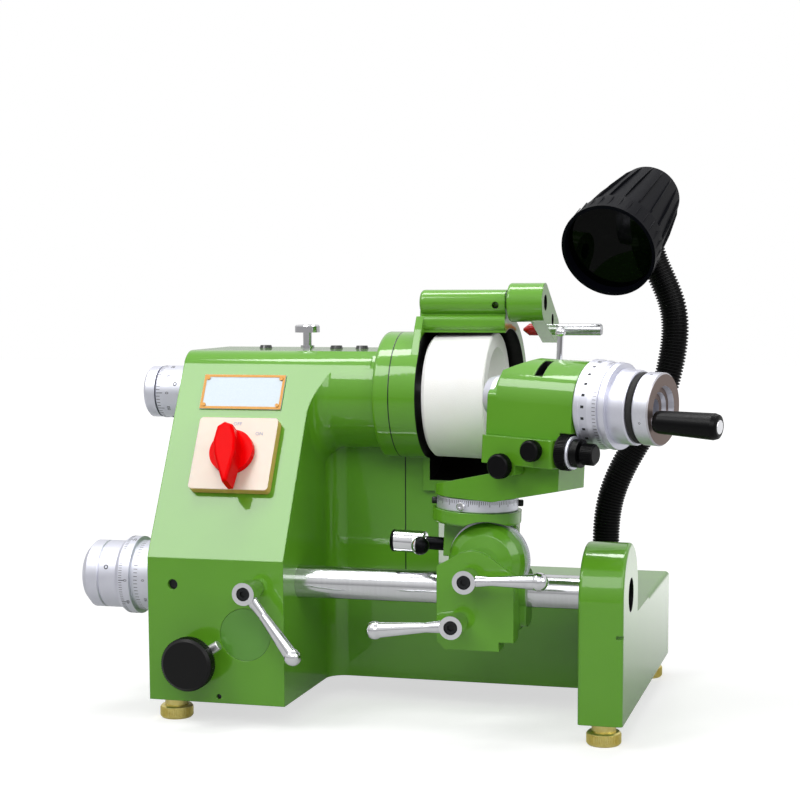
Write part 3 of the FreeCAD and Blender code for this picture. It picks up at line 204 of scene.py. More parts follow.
def machine_enamel(name, joint=False, bores=()):
    """Gloss stoving enamel over filled iron: even green, a slight orange peel of about 3 mm, soft edges where
    the paint draws back, and a clear wet gloss. Inside the given bores and the guard it is painted black and
    dull, as painted shade of these hollows."""
    material, tree, shader, here = finish(name, Roughness=0.35, Specular_IOR_Level=0.15, Coat_Weight=0.9,
                                          Coat_Roughness=0.04, Coat_IOR=1.5)
    cloud = add(tree, "ShaderNodeTexNoise", {"Scale": 1000.0 / CLOUD_MM, "Detail": 3.0}, {"Vector": here})
    tone = add(tree, "ShaderNodeMix", {"data_type": "RGBA", 6: linear("#58981c"), 7: linear("#63a226")},
               {0: cloud.outputs[0]}).outputs[2]
    where = add(tree, "ShaderNodeSeparateXYZ", {}, {0: here})
    if joint:
        off = add(tree, "ShaderNodeMath", {"operation": "SUBTRACT", 1: JOINT_X}, {0: where.outputs[0]})
        near = add(tree, "ShaderNodeMath", {"operation": "COMPARE", 1: 0.0, 2: 0.0005}, {0: off.outputs[0]})
        high = add(tree, "ShaderNodeMath", {"operation": "GREATER_THAN", 1: JOINT_LOW}, {0: where.outputs[2]})
        line = add(tree, "ShaderNodeMath", {"operation": "MULTIPLY"},
                   {0: near.outputs[0], 1: high.outputs[0]})
        fore = add(tree, "ShaderNodeMath", {"operation": "LESS_THAN", 1: JOINT_BACK}, {0: where.outputs[1]})
        line = add(tree, "ShaderNodeMath", {"operation": "MULTIPLY"},
                   {0: line.outputs[0], 1: fore.outputs[0]})
        tone = add(tree, "ShaderNodeMix", {"data_type": "RGBA", 7: linear("#16300c")},
                   {0: line.outputs[0], 6: tone}).outputs[2]
    # Painted shade: inside each bore and the guard the tone is mixed to black and the gloss is dulled.
    black = None
    for mouth, across, radius, axis, side in bores:
        arm = add(tree, "ShaderNodeVectorMath", {"operation": "SUBTRACT", 1: mouth}, {0: here})
        flat = add(tree, "ShaderNodeVectorMath", {"operation": "MULTIPLY", 1: across}, {0: arm.outputs[0]})
        reach = add(tree, "ShaderNodeVectorMath", {"operation": "LENGTH"}, {0: flat.outputs[0]})
        inside = add(tree, "ShaderNodeMath", {"operation": "LESS_THAN", 1: radius},
                     {0: reach.outputs["Value"]})
        beyond = add(tree, "ShaderNodeMath", {"operation": side, 1: mouth[axis]}, {0: where.outputs[axis]})
        both = add(tree, "ShaderNodeMath", {"operation": "MULTIPLY"},
                   {0: inside.outputs[0], 1: beyond.outputs[0]})
        black = both if black is None else add(tree, "ShaderNodeMath", {"operation": "MAXIMUM"},
                                               {0: black.outputs[0], 1: both.outputs[0]})
    if black:
        tone = add(tree, "ShaderNodeMix", {"data_type": "RGBA", 7: linear("#0b0c0b")},
                   {0: black.outputs[0], 6: tone}).outputs[2]
        dull = add(tree, "ShaderNodeMapRange", {3: 0.9, 4: 0.05}, {0: black.outputs[0]})
        tree.links.new(dull.outputs[0], shader.inputs["Coat Weight"])
    tree.links.new(tone, shader.inputs["Base Color"])
    peel = add(tree, "ShaderNodeTexNoise", {"Scale": 1000.0 / PEEL_MM, "Detail": 1.0}, {"Vector": here})
    soft = add(tree, "ShaderNodeBevel", {"samples": 4, "Radius": SOFT_EDGE})
    skin = add(tree, "ShaderNodeBump", {"Strength": 0.12, "Distance": 0.0003},
               {"Height": peel.outputs[0], "Normal": soft.outputs[0]})
    tree.links.new(skin.outputs[0], shader.inputs["Normal"])
    tree.links.new(skin.outputs[0], shader.inputs["Coat Normal"])
    return material


enamel = machine_enamel("green_stoving_enamel")
paint("machine_bed", machine_enamel("green_stoving_enamel_at_joint", True, [BAR_BORE]))
paint("wheel_guard", machine_enamel("green_stoving_enamel_guard", True, [WHEEL_ROOM, OIL_HOLE]))
paint("dresser_arm", machine_enamel("green_stoving_enamel_arm", False, ARM_HOLES))
for node in ("carriage", "tilt_bracket", "swivel_table", "cross_slide", "workhead_body", "rear_cover"):
    paint(node, enamel)


# Bottom plates, motor, belt and switch block: plain made-up parts inside the casting, seen only from below or
# through the louvres. Zinc-plated sheet has a soft, cloudy shine, the painted aluminium a slight grain, the
# rubber is matt, and the moulded plastic has a low sheen.
def mottled(name, dark, light, grain_mm, bump, **values):
    """A finish whose tone and height vary with a grain of a given size."""
    material, tree, shader, here = finish(name, **values)
    grain = add(tree, "ShaderNodeTexNoise", {"Scale": 1000.0 / grain_mm, "Detail": 3.0}, {"Vector": here})
    tone = add(tree, "ShaderNodeMix", {"data_type": "RGBA", 6: linear(dark), 7: linear(light)},
               {0: grain.outputs[0]})
    tree.links.new(tone.outputs[2], shader.inputs["Base Color"])
    skin = add(tree, "ShaderNodeBump", {"Strength": bump, "Distance": 0.0003}, {"Height": grain.outputs[0]})
    tree.links.new(skin.outputs[0], shader.inputs["Normal"])
    return material


zinc = mottled("zinc_plated_sheet", "#a9adb0", "#c6cacc", 6.0, 0.05, Metallic=1.0, Roughness=0.38)
motor_paint = mottled("grey_motor_paint", "#5b6064", "#6b7075", 2.0, 0.2, Roughness=0.5)
rubber = mottled("belt_rubber", "#161616", "#202020", 1.0, 0.3, Roughness=0.8)
black_plastic = mottled("moulded_black_plastic", "#040405", "#08080a", 0.7, 0.12, Roughness=0.34,
                        Specular_IOR_Level=0.12)
paint("bottom_plate", zinc)
paint("motor_housing", motor_paint)
paint("drive_belt", rubber)
paint("switch_body", black_plastic)
paint("cable_gland", black_plastic)


# Ground and turned steel: the guide bar, the spindles, the feed screw and the diamond's shank. Cylindrical
# grinding leaves lines round the piece, drawn here about 0.8 mm apart so that they show.
LINE_MM = 0.833
STREAK_MM = 25.0


def ground_steel(name, colour, roughness, red_before=None):
    """Bright steel with grinding lines round X; a dipped red nose before a given place."""
    material, tree, shader, here = finish(name, Metallic=1.0, Roughness=roughness)
    stretch = (1000.0 / LINE_MM, 1000.0 / STREAK_MM, 1000.0 / STREAK_MM)
    lay = add(tree, "ShaderNodeMapping", {"Scale": stretch}, {"Vector": here})
    lines = add(tree, "ShaderNodeTexNoise", {"Scale": 1.0, "Detail": 2.0}, {"Vector": lay.outputs[0]})
    worn = add(tree, "ShaderNodeMapRange", {3: roughness * 0.7, 4: roughness * 1.4}, {0: lines.outputs[0]})
    tree.links.new(worn.outputs[0], shader.inputs["Roughness"])
    tone = add(tree, "ShaderNodeMix", {"data_type": "RGBA", 6: linear(colour), 7: linear("#d9dadd")},
               {0: lines.outputs[0]}).outputs[2]
    if red_before is not None:
        where = add(tree, "ShaderNodeSeparateXYZ", {}, {0: here})
        nose = add(tree, "ShaderNodeMath", {"operation": "LESS_THAN", 1: red_before}, {0: where.outputs[0]})
        tone = add(tree, "ShaderNodeMix", {"data_type": "RGBA", 7: linear("#c01418")},
                   {0: nose.outputs[0], 6: tone}).outputs[2]
        bare = add(tree, "ShaderNodeMath", {"operation": "SUBTRACT", 0: 1.0}, {1: nose.outputs[0]})
        tree.links.new(bare.outputs[0], shader.inputs["Metallic"])
    tree.links.new(tone, shader.inputs["Base Color"])
    skin = add(tree, "ShaderNodeBump", {"Strength": 0.02, "Distance": 0.0001}, {"Height": lines.outputs[0]})
    tree.links.new(skin.outputs[0], shader.inputs["Normal"])
    return material


steel = ground_steel("cylindrically_ground_steel", "#c9cacd", 0.16)
for node in ("guide_bar", "bar_feed_screw", "spindle_shaft", "quill_sleeve", "spindle_bearings",
             "motor_rotor", "spindle_pulley", "motor_pulley", "wheel_flange", "wheel_nut"):
    paint(node, steel)
paint("diamond_dresser", ground_steel("ground_shank_red_nose", "#b9bbbe", 0.2, drawn(277, 0, 0).x))


# Grinding wheel: fused white corundum grit in a fired clay bond, pressed and trued with a diamond. Dull,
# chalky and full of fine pores. The grains are drawn at about 0.6 mm, coarser than real ones, so that they
# show.
GRIT_MM = 0.588
SMEAR_MM = 16.7
material, tree, shader, here = finish("white_corundum_grit", Roughness=0.92)
grit = add(tree, "ShaderNodeTexVoronoi", {"Scale": 1000.0 / GRIT_MM}, {"Vector": here})
smear = add(tree, "ShaderNodeTexNoise", {"Scale": 1000.0 / SMEAR_MM, "Detail": 4.0}, {"Vector": here})
tone = add(tree, "ShaderNodeMix", {"data_type": "RGBA", 6: linear("#ffffff"), 7: linear("#fcfaf7")},
           {0: smear.outputs[0]})
tree.links.new(tone.outputs[2], shader.inputs["Base Color"])
pores = add(tree, "ShaderNodeBump", {"Strength": 0.35, "Distance": 0.0004},
            {"Height": grit.outputs["Distance"]})
tree.links.new(pores.outputs[0], shader.inputs["Normal"])
paint("grinding_wheel", material)


# Feed dials and scale rings: turned aluminium, blasted and clear anodised to a pale satin, with filled black
# lines and figures. The collet handwheel is left bare, and its face that looks along the spindle is painted a
# darker brown as painted shade. The blasted grain is drawn at about 1 mm so that it shows.
BLAST_MM = 1.11
SATIN_CLOUD_MM = 14.3
BORED_GRAIN_MM = 2.0


def satin_aluminium(name, tone_a, tone_b):
    """Pale satin metal with a fine blasted grain and eased edges."""
    material, tree, shader, here = finish(name, Metallic=0.75, Roughness=0.42)
    blast = add(tree, "ShaderNodeTexNoise", {"Scale": 1000.0 / BLAST_MM, "Detail": 2.0}, {"Vector": here})
    cloud = add(tree, "ShaderNodeTexNoise", {"Scale": 1000.0 / SATIN_CLOUD_MM, "Detail": 3.0},
                {"Vector": here})
    tone = add(tree, "ShaderNodeMix", {"data_type": "RGBA", 6: linear(tone_a), 7: linear(tone_b)},
               {0: cloud.outputs[0]})
    tree.links.new(tone.outputs[2], shader.inputs["Base Color"])
    soft = add(tree, "ShaderNodeBevel", {"samples": 4, "Radius": 0.0005})
    skin = add(tree, "ShaderNodeBump", {"Strength": 0.1, "Distance": 0.0002},
               {"Height": blast.outputs[0], "Normal": soft.outputs[0]})
    tree.links.new(skin.outputs[0], shader.inputs["Normal"])
    return material


aluminium = satin_aluminium("clear_anodised_aluminium", "#cfd0dc", "#e1e2ec")
for node in ("spindle_feed_barrel", "spindle_feed_dial", "bar_feed_barrel", "bar_feed_dial",
             "tilt_scale_ring", "swivel_scale_ring", "index_ring", "work_spindle"):
    paint(node, aluminium)
material, tree, shader, here = finish("aluminium_with_painted_shade_face", Metallic=0.8, Roughness=0.4)
HEAD_TURN = math.radians(-19)
HEAD_TILT = math.radians(2.2)
# Painted shade: faces turned along the spindle's way are mixed to a dark brown.
facing = add(tree, "ShaderNodeNewGeometry")
SPINDLE_WAY = (math.cos(HEAD_TURN), math.sin(HEAD_TURN), -math.sin(HEAD_TILT))
outward = add(tree, "ShaderNodeVectorMath", {"operation": "DOT_PRODUCT", 1: SPINDLE_WAY},
              {0: facing.outputs["Normal"]})
painted_shade_face = add(tree, "ShaderNodeMapRange", {1: 0.6, 2: 0.9}, {0: outward.outputs["Value"]})
blast = add(tree, "ShaderNodeTexNoise", {"Scale": 1000.0 / BORED_GRAIN_MM, "Detail": 2.0}, {"Vector": here})
pale = add(tree, "ShaderNodeMix", {"data_type": "RGBA", 6: linear("#cfd0da"), 7: linear("#dedfe7")},
           {0: blast.outputs[0]})
tone = add(tree, "ShaderNodeMix", {"data_type": "RGBA", 7: linear("#75655f")},
           {0: painted_shade_face.outputs[0], 6: pale.outputs[2]})
tree.links.new(tone.outputs[2], shader.inputs["Base Color"])
paint("collet_handwheel", material)


# Marks on the dials and rings: lines and figures engraved and filled with black wax. Each ring of marks is
# one small block spaced round the dial's axis.
def round_axis_tree():
    """Copies of a piece spaced round Z at a radius, one step apart."""
    group = bpy.data.node_groups.new("spaced_round_axis", "GeometryNodeTree")
    for label, kind in (("Piece", "NodeSocketObject"), ("Finish", "NodeSocketMaterial"),
                        ("Count", "NodeSocketInt"), ("Radius", "NodeSocketFloat"),
                        ("Step", "NodeSocketFloat"), ("Start", "NodeSocketFloat")):
        group.interface.new_socket(label, in_out="INPUT", socket_type=kind)
    group.interface.new_socket("Geometry", in_out="OUTPUT", socket_type="NodeSocketGeometry")
    inlet = add(group, "NodeGroupInput")
    index = add(group, "GeometryNodeInputIndex")
    turn = add(group, "ShaderNodeMath", {"operation": "MULTIPLY_ADD"},
               {0: index.outputs[0], 1: inlet.outputs["Step"], 2: inlet.outputs["Start"]})
    across = add(group, "ShaderNodeMath", {"operation": "COSINE"}, {0: turn.outputs[0]})
    along = add(group, "ShaderNodeMath", {"operation": "SINE"}, {0: turn.outputs[0]})
    ring = add(group, "ShaderNodeCombineXYZ", {}, {0: across.outputs[0], 1: along.outputs[0]})
    place = add(group, "ShaderNodeVectorMath", {"operation": "SCALE"},
                {0: ring.outputs[0], "Scale": inlet.outputs["Radius"]})
    face = add(group, "ShaderNodeCombineXYZ", {}, {2: turn.outputs[0]})
    spots = add(group, "GeometryNodePoints", {},
                {"Count": inlet.outputs["Count"], "Position": place.outputs[0]})
    piece = add(group, "GeometryNodeObjectInfo", {}, {"Object": inlet.outputs["Piece"]})
    copies = add(group, "GeometryNodeInstanceOnPoints", {},
                 {"Points": spots.outputs[0], "Instance": piece.outputs["Geometry"],
                  "Rotation": face.outputs[0]})
    real = add(group, "GeometryNodeRealizeInstances", {}, {0: copies.outputs[0]})
    dressed = add(group, "GeometryNodeSetMaterial", {},
                  {0: real.outputs[0], "Material": inlet.outputs["Finish"]})
    add(group, "NodeGroupOutput", {}, {0: dressed.outputs[0]})
    return group


ROUND_AXIS = round_axis_tree()


def piece_from(name, mesh, body, material=None):
    """Make a finished piece of a mesh in place, with its finish and the body that it moves with."""
    if material:
        mesh.materials.clear()
        mesh.materials.append(material)
    piece = bpy.data.objects.new(name, mesh)
    scene.collection.objects.link(piece)
    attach(piece, body)


def spaced_mesh(name, block, material, count, radius, frame_of_axis, start=0.0):
    """The mesh of a block copied round an axis; frame_of_axis turns Z to it, in drawing millimetres."""
    pattern = bpy.data.objects.new(name + "_pattern", block)
    holder = bpy.data.objects.new(name + "_ring", bpy.data.meshes.new(name + "_ring"))
    for thing in (pattern, holder):
        scene.collection.objects.link(thing)
    modifier = holder.modifiers.new("spaced", "NODES")
    modifier.node_group = ROUND_AXIS
    values = {"Piece": pattern, "Finish": material, "Count": count, "Radius": radius,
              "Step": math.tau / count, "Start": start}
    for item in ROUND_AXIS.interface.items_tree:
        if item.item_type == "SOCKET" and item.in_out == "INPUT":
            modifier[item.identifier] = values[item.name]
    bpy.context.view_layer.update()
    mesh = bpy.data.meshes.new_from_object(holder.evaluated_get(bpy.context.evaluated_depsgraph_get()))
    holder.modifiers.clear()
    for thing in (pattern, holder):
        bpy.data.objects.remove(thing)
    mesh.name = name
    mesh.transform(DRAWN @ frame_of_axis)
    return mesh


def block_mesh(name, radial, tangential, axial, taper=1.0):
    """A small block: X out from the axis, Y round it, Z along it; the outer face may be narrower."""
    corners = [(sx * radial / 2, sy * tangential / 2 * (taper if sx > 0 else 1), sz * axial / 2)
               for sx in (-1, 1) for sy in (-1, 1) for sz in (-1, 1)]
    mesh = bpy.data.meshes.new(name)
    mesh.from_pydata(corners, [], [(0, 1, 3, 2), (4, 6, 7, 5), (0, 4, 5, 1), (2, 3, 7, 6), (0, 2, 6, 4),
                                   (1, 5, 7, 3)])
    return mesh


def axis_frame(place, direction):
    """Drawing millimetres with Z along a direction, from a place."""
    return Matrix.Translation(Vector(place)) @ Vector(direction).to_track_quat("Z", "Y").to_matrix().to_4x4()


def joined(name, meshes):
    """Several meshes of one finish as one."""
    whole = bmesh.new()
    for mesh in meshes:
        whole.from_mesh(mesh)
    result = bpy.data.meshes.new(name)
    whole.to_mesh(result)
    whole.free()
    return result


wax = mottled("black_filled_engraving", "#15161a", "#22242a", 1.0, 0.1, Roughness=0.6)
MARK_DEPTH = 0.24
PROUD = 0.05
TYPE_SIZE_PER_HEIGHT = 1.4


def figure_mesh(text, height):
    """One figure, cut flat and given a thickness."""
    curve = bpy.data.curves.new("figure", "FONT")
    curve.body = text
    curve.size = height * TYPE_SIZE_PER_HEIGHT
    curve.align_x = "CENTER"
    curve.align_y = "CENTER"
    curve.resolution_u = 2
    curve.extrude = MARK_DEPTH / 2
    holder = bpy.data.objects.new("figure", curve)
    scene.collection.objects.link(holder)
    bpy.context.view_layer.update()
    mesh = bpy.data.meshes.new_from_object(holder.evaluated_get(bpy.context.evaluated_depsgraph_get()))
    bpy.data.objects.remove(holder)
    return mesh


def graduated(name, body, axis, radius, lines, figures=()):
    """Marks round a dial: rows of lines (count, distance along the axis, length, width) and a row of figures
    (texts, distance, height)."""
    meshes = []
    sunk = radius - MARK_DEPTH / 2 + PROUD
    upright = Matrix(((0, 0, 1, 0), (1, 0, 0, 0), (0, 1, 0, 0), (0, 0, 0, 1)))
    for count, along, length, width in lines:
        at = axis @ Matrix.Translation((0, 0, along))
        mark = block_mesh(name, MARK_DEPTH, width, length)
        meshes.append(spaced_mesh(name, mark, wax, count, sunk, at))
    if figures:
        texts, along, height = figures
        for index, text in enumerate(texts):
            turn = Matrix.Rotation(math.tau * index / len(texts), 4, "Z")
            mesh = figure_mesh(text, height)
            mesh.transform(DRAWN @ axis @ turn @ Matrix.Translation((sunk, 0, along)) @ upright)
            meshes.append(mesh)
    piece_from(name, joined(name, meshes), body, wax)


TENS = [str(k) for k in range(0, 100, 10)]
spindle_axis = axis_frame((0, 116, 231), (-1, 0, 0))
graduated("spindle_feed_marks", "base", spindle_axis, 21.5, [(50, 29.5, 3.0, 0.4), (10, 28.3, 5.4, 0.5)],
          (TENS, 21.5, 3.0))
bar_axis = axis_frame((0, 38.5, 90.5), (-1, 0, 0))
graduated("bar_feed_marks", "base", bar_axis, 30.5, [(100, 27.0, 2.6, 0.35), (10, 26.2, 4.2, 0.5)],
          (TENS, 22.6, 2.8))
graduated("bar_barrel_marks", "base", bar_axis, 27.5, [(60, 15.5, 3.0, 0.4)], (TENS, 9.0, 2.6))

TILT_PIVOT = Vector((262.5, 38.5, 114))
TILT = (Matrix.Translation(TILT_PIVOT) @ Matrix.Rotation(HEAD_TILT, 4, "Y")
        @ Matrix.Translation(-TILT_PIVOT))
HEAD = TILT @ Matrix.Translation((249.5, 38.5, 0)) @ Matrix.Rotation(HEAD_TURN, 4, "Z")
swivel_axis = TILT @ axis_frame((249.5, 38.5, 0), (0, 0, 1))
graduated("swivel_marks", "tilt", swivel_axis, 30.5, [(120, 158.6, 2.6, 0.35), (24, 157.8, 4.2, 0.45)])
tilt_axis = axis_frame((262.5, 27, 114), (0, 1, 0))
graduated("tilt_marks", "carriage", tilt_axis, 30.5, [(120, 1.6, 2.2, 0.35)])
head_axis = HEAD @ axis_frame((0, -9, 236.5), (1, 0, 0))
graduated("index_marks", "work", head_axis, 31.5, [(24, 106.6, 2.4, 1.9)])
graduated("index_lines", "work", head_axis, 30.5, [(72, 115.0, 2.6, 0.35)])

# Small dark set screws in the dials: steel grub screws, blackened, sunk flush in drilled and tapped holes.
# The oxide leaves them dark with an oily half-shine. Each row gives their name, body, dial axis and dial
# radius, the distance along the axis, their own radius and their number.
SCREW_SUNK = 0.42
DIAL_SCREWS = [("spindle_dial_screw", "base", spindle_axis, 21.5, 15.0, 1.9, 3),
               ("bar_dial_screw", "bar_dial", bar_axis, 26.5, 41.0, 2.0, 3),
               ("handwheel_screw", "work", head_axis, 25.6, 147.5, 1.0, 4)]


def disc_mesh(name, radius, thickness, sides=24, hollow=0.0, edge=0.25):
    """A short round piece along X with eased edges and, where asked, a six-sided socket in its outer face."""
    bm = bmesh.new()
    rings = [(-thickness / 2, radius), (thickness / 2 - edge, radius), (thickness / 2, radius - edge)]
    loops = [[bm.verts.new((x, r * math.cos(math.tau * k / sides), r * math.sin(math.tau * k / sides)))
              for k in range(sides)] for x, r in rings]
    if hollow:
        for x in (thickness / 2, -thickness / 2 + edge):
            loops.append([bm.verts.new((x, *hexagon_point(hollow, math.tau * k / sides)))
                          for k in range(sides)])
    for low, high in zip(loops, loops[1:]):
        for k in range(sides):
            bm.faces.new((low[k], low[(k + 1) % sides], high[(k + 1) % sides], high[k]))
    bm.faces.new(loops[0][::-1])
    bm.faces.new(loops[-1])
    bmesh.ops.recalc_face_normals(bm, faces=bm.faces)
    mesh = bpy.data.meshes.new(name)
    bm.to_mesh(mesh)
    bm.free()
    return mesh


def hexagon_point(flat, angle):
    """A point on a hexagon, given half its width across flats."""
    sector = math.pi / 3
    reach = flat / math.cos((angle + sector / 2) % sector - sector / 2)
    return reach * math.cos(angle), reach * math.sin(angle)


black_oxide = mottled("black_oxide_steel", "#17181a", "#2a2b2e", 2.0, 0.1, Metallic=0.6, Roughness=0.38)
for name, body, axis, radius, along, size, count in DIAL_SCREWS:
    at = axis @ Matrix.Translation((0, 0, along))
    screw = disc_mesh(name, size, 1.0, 12, size * 0.5)
    mesh = spaced_mesh(name, screw, black_oxide, count, radius - SCREW_SUNK, at, math.radians(20))
    piece_from(name, mesh, body)


# Clamp levers and bright screws: drop-forged, polished and chrome plated. The plating mirrors the room, with
# faint waves left by the polishing wheel.
WAVE_MM = 8.33


def chrome(name, dark_below=None, dark_above=None):
    """Mirror plating with faint waves; black, duller ends outside two given places."""
    material, tree, shader, here = finish(name, Metallic=1.0, Roughness=0.09)
    wave = add(tree, "ShaderNodeTexNoise", {"Scale": 1000.0 / WAVE_MM, "Detail": 2.0}, {"Vector": here})
    tone = add(tree, "ShaderNodeMix", {"data_type": "RGBA", 6: linear("#d2d3d6"), 7: linear("#e6e6ea")},
               {0: wave.outputs[0]}).outputs[2]
    if dark_below is not None:
        where = add(tree, "ShaderNodeSeparateXYZ", {}, {0: here})
        low = add(tree, "ShaderNodeMath", {"operation": "LESS_THAN", 1: dark_below}, {0: where.outputs[0]})
        high = add(tree, "ShaderNodeMath", {"operation": "GREATER_THAN", 1: dark_above},
                   {0: where.outputs[0]})
        black = add(tree, "ShaderNodeMath", {"operation": "ADD"}, {0: low.outputs[0], 1: high.outputs[0]})
        tone = add(tree, "ShaderNodeMix", {"data_type": "RGBA", 7: linear("#141416")},
                   {0: black.outputs[0], 6: tone}).outputs[2]
        dull = add(tree, "ShaderNodeMapRange", {3: 0.09, 4: 0.4}, {0: black.outputs[0]})
        tree.links.new(dull.outputs[0], shader.inputs["Roughness"])
    tree.links.new(tone, shader.inputs["Base Color"])
    skin = add(tree, "ShaderNodeBump", {"Strength": 0.03, "Distance": 0.0005}, {"Height": wave.outputs[0]})
    tree.links.new(skin.outputs[0], shader.inputs["Normal"])
    return material


bright = chrome("polished_chrome_plate")
for node in ("column_clamp_lever", "carriage_lever_upper", "carriage_lever_lower", "quill_lock_screw",
             "index_pin"):
    paint(node, bright)
paint("swivel_clamp_lever", chrome("chrome_plate_black_ends", drawn(187.5, 0, 0).x, drawn(212, 0, 0).x))

# Socket screws in the lever hubs: blackened cap screws that hold each lever to its clamp stud. The six-sided
# sockets show darker than the heads.
HUB_SCREWS = [("column_lever_screw", "lever_column", (88.5, -29, 90.5)),
              ("upper_lever_screw", "lever_upper", (254.2, -20, 104.5)),
              ("lower_lever_screw", "lever_lower", (245.4, -24, 71.7))]
for name, body, hub in HUB_SCREWS:
    mesh = disc_mesh(name, 5.0, 2.4, 36, 2.4, 0.5)
    seat = Matrix.Translation(Vector(hub) + Vector((0, 1.7, 0)))
    mesh.transform(DRAWN @ seat @ Matrix.Rotation(-math.pi / 2, 4, "Z"))
    piece_from(name, mesh, body, black_oxide)


# Black knobs: turned phenolic with straight knurling pressed round the rim, and the slide's black micrometer.
# They are dense black with a low sheen. The stop knob runs on a bare, bright pin.
SPECK_MM = 1.43
for node in ("slide_lock_screw", "table_lock_screw", "slide_micrometer_knob", "crank_handle"):
    paint(node, black_plastic)
material, tree, shader, here = finish("black_phenolic_bright_pin", Roughness=0.4, Specular_IOR_Level=0.22)
speck = add(tree, "ShaderNodeTexNoise", {"Scale": 1000.0 / SPECK_MM, "Detail": 2.0}, {"Vector": here})
where = add(tree, "ShaderNodeSeparateXYZ", {}, {0: here})
behind = add(tree, "ShaderNodeMath", {"operation": "GREATER_THAN", 1: drawn(0, -13.8, 0).y},
             {0: where.outputs[1]})
tone = add(tree, "ShaderNodeMix", {"data_type": "RGBA", 6: linear("#060607"), 7: linear("#0b0b0c")},
           {0: speck.outputs[0]})
tone = add(tree, "ShaderNodeMix", {"data_type": "RGBA", 7: linear("#d4d4d6")},
           {0: behind.outputs[0], 6: tone.outputs[2]})
tree.links.new(tone.outputs[2], shader.inputs["Base Color"])
tree.links.new(behind.outputs[0], shader.inputs["Metallic"])
paint("swing_stop_knob", material)

stop_axis = axis_frame((40, -25, 33.5), (0, 1, 0))
slide_lock_axis = HEAD @ axis_frame((75, -57.5, 204), (0, 1, 0))
table_lock_axis = HEAD @ axis_frame((50, -57.5, 191), (0, 1, 0))
micrometer_axis = HEAD @ axis_frame((88, -36, 203.5), (1, 0, 0))
# Each knurl: its name, body, axis and radius, the number of ridges, and their place, length and width.
KNURLS = [("stop_knob_knurl", "stop_knob", stop_axis, 20.0, 72, 6.1, 8.4, 1.1),
          ("slide_lock_knurl", "slide_lock", slide_lock_axis, 7.2, 40, 4.0, 5.6, 0.7),
          ("table_lock_knurl", "table_lock", table_lock_axis, 8.5, 46, 4.0, 5.6, 0.7),
          ("micrometer_knurl", "slide_knob", micrometer_axis, 7.2, 40, 23.8, 7.6, 0.7),
          ("thimble_knurl", "slide_knob", micrometer_axis, 12.4, 64, 6.0, 6.6, 0.7)]
for name, body, axis, radius, count, along, length, width in KNURLS:
    at = axis @ Matrix.Translation((0, 0, along))
    ridge = block_mesh(name, 0.8, width, length, 0.35)
    piece_from(name, spaced_mesh(name, ridge, black_plastic, count, radius + 0.1, at), body)


# Rubber ring, end screw and white line of the work-head: a moulded buffer behind the handwheel, the screw
# that holds the crank handle, and the bright index line on the slide's micrometer.
def ring_mesh(name, outline, sides=72):
    """A turned ring along Z from a closed outline of (distance, radius) points."""
    bm = bmesh.new()
    loops = [[bm.verts.new((r * math.cos(math.tau * k / sides), r * math.sin(math.tau * k / sides), s))
              for k in range(sides)] for s, r in outline]
    for low, high in zip(loops, loops[1:] + loops[:1]):
        for k in range(sides):
            bm.faces.new((low[k], low[(k + 1) % sides], high[(k + 1) % sides], high[k]))
    bmesh.ops.recalc_face_normals(bm, faces=bm.faces)
    mesh = bpy.data.meshes.new(name)
    bm.to_mesh(mesh)
    bm.free()
    return mesh


mesh = ring_mesh("buffer_ring", [(136.4, 22.1), (136.4, 24.2), (137.2, 25.0), (140.2, 25.0), (141.0, 24.2),
                                 (141.0, 22.1)])
mesh.transform(DRAWN @ head_axis)
piece_from("buffer_ring", mesh, "work", rubber)
mesh = ring_mesh("micrometer_line", [(10.2, 9.0), (10.2, 11.6), (11.2, 11.9), (12.2, 11.6), (12.2, 9.0)], 48)
mesh.transform(DRAWN @ micrometer_axis)
piece_from("micrometer_line", mesh, "slide_knob", aluminium)
mesh = disc_mesh("handle_end_screw", 5.2, 1.2, 36, 0.0, 0.5)
mesh.transform(DRAWN @ HEAD @ Matrix.Translation((202.55, -24, 229)))
piece_from("handle_end_screw", mesh, "handle", bright)


# Index slot: the milled slot in the top of the work-head, where the spring pin runs. Thin black sheets on its
# cheeks, floor and end are painted shade of the slot's inside.
SLOT_U = (63.05, 69.95)
SHADE_SHEET = 0.35
slot_side = [(-31.6, 255.05), (-31.6, 255.6), (-28.0, 259.2), (-24.0, 261.9), (-20.0, 263.9), (-16.1, 265.2),
             (-16.1, 255.05)]
slot_middle = sum(SLOT_U) / 2
slot_width = SLOT_U[1] - SLOT_U[0] - 2 * SHADE_SHEET
shade_sheets = []
for start, end in ((SLOT_U[0], SLOT_U[0] + SHADE_SHEET), (SLOT_U[1] - SHADE_SHEET, SLOT_U[1])):
    sheet = bpy.data.meshes.new("slot_cheek")
    size = len(slot_side)
    corners = [(u, w, z) for u in (start, end) for w, z in slot_side]
    faces = [tuple(range(size)), tuple(range(2 * size - 1, size - 1, -1))]
    faces += [(k, k + size, (k + 1) % size + size, (k + 1) % size) for k in range(size)]
    sheet.from_pydata(corners, [], faces)
    shade_sheets.append(sheet)
floor_sheet = block_mesh("slot_floor", slot_width, 15.3, SHADE_SHEET)
floor_sheet.transform(Matrix.Translation((slot_middle, -23.8, 255.25)))
end_sheet = block_mesh("slot_end", slot_width, SHADE_SHEET, 9.6)
end_sheet.transform(Matrix.Translation((slot_middle, -16.25, 260.3)))
mesh = joined("index_slot_lining", shade_sheets + [floor_sheet, end_sheet])
mesh.transform(DRAWN @ HEAD)
piece_from("index_slot_lining", mesh, "slide", black_oxide)


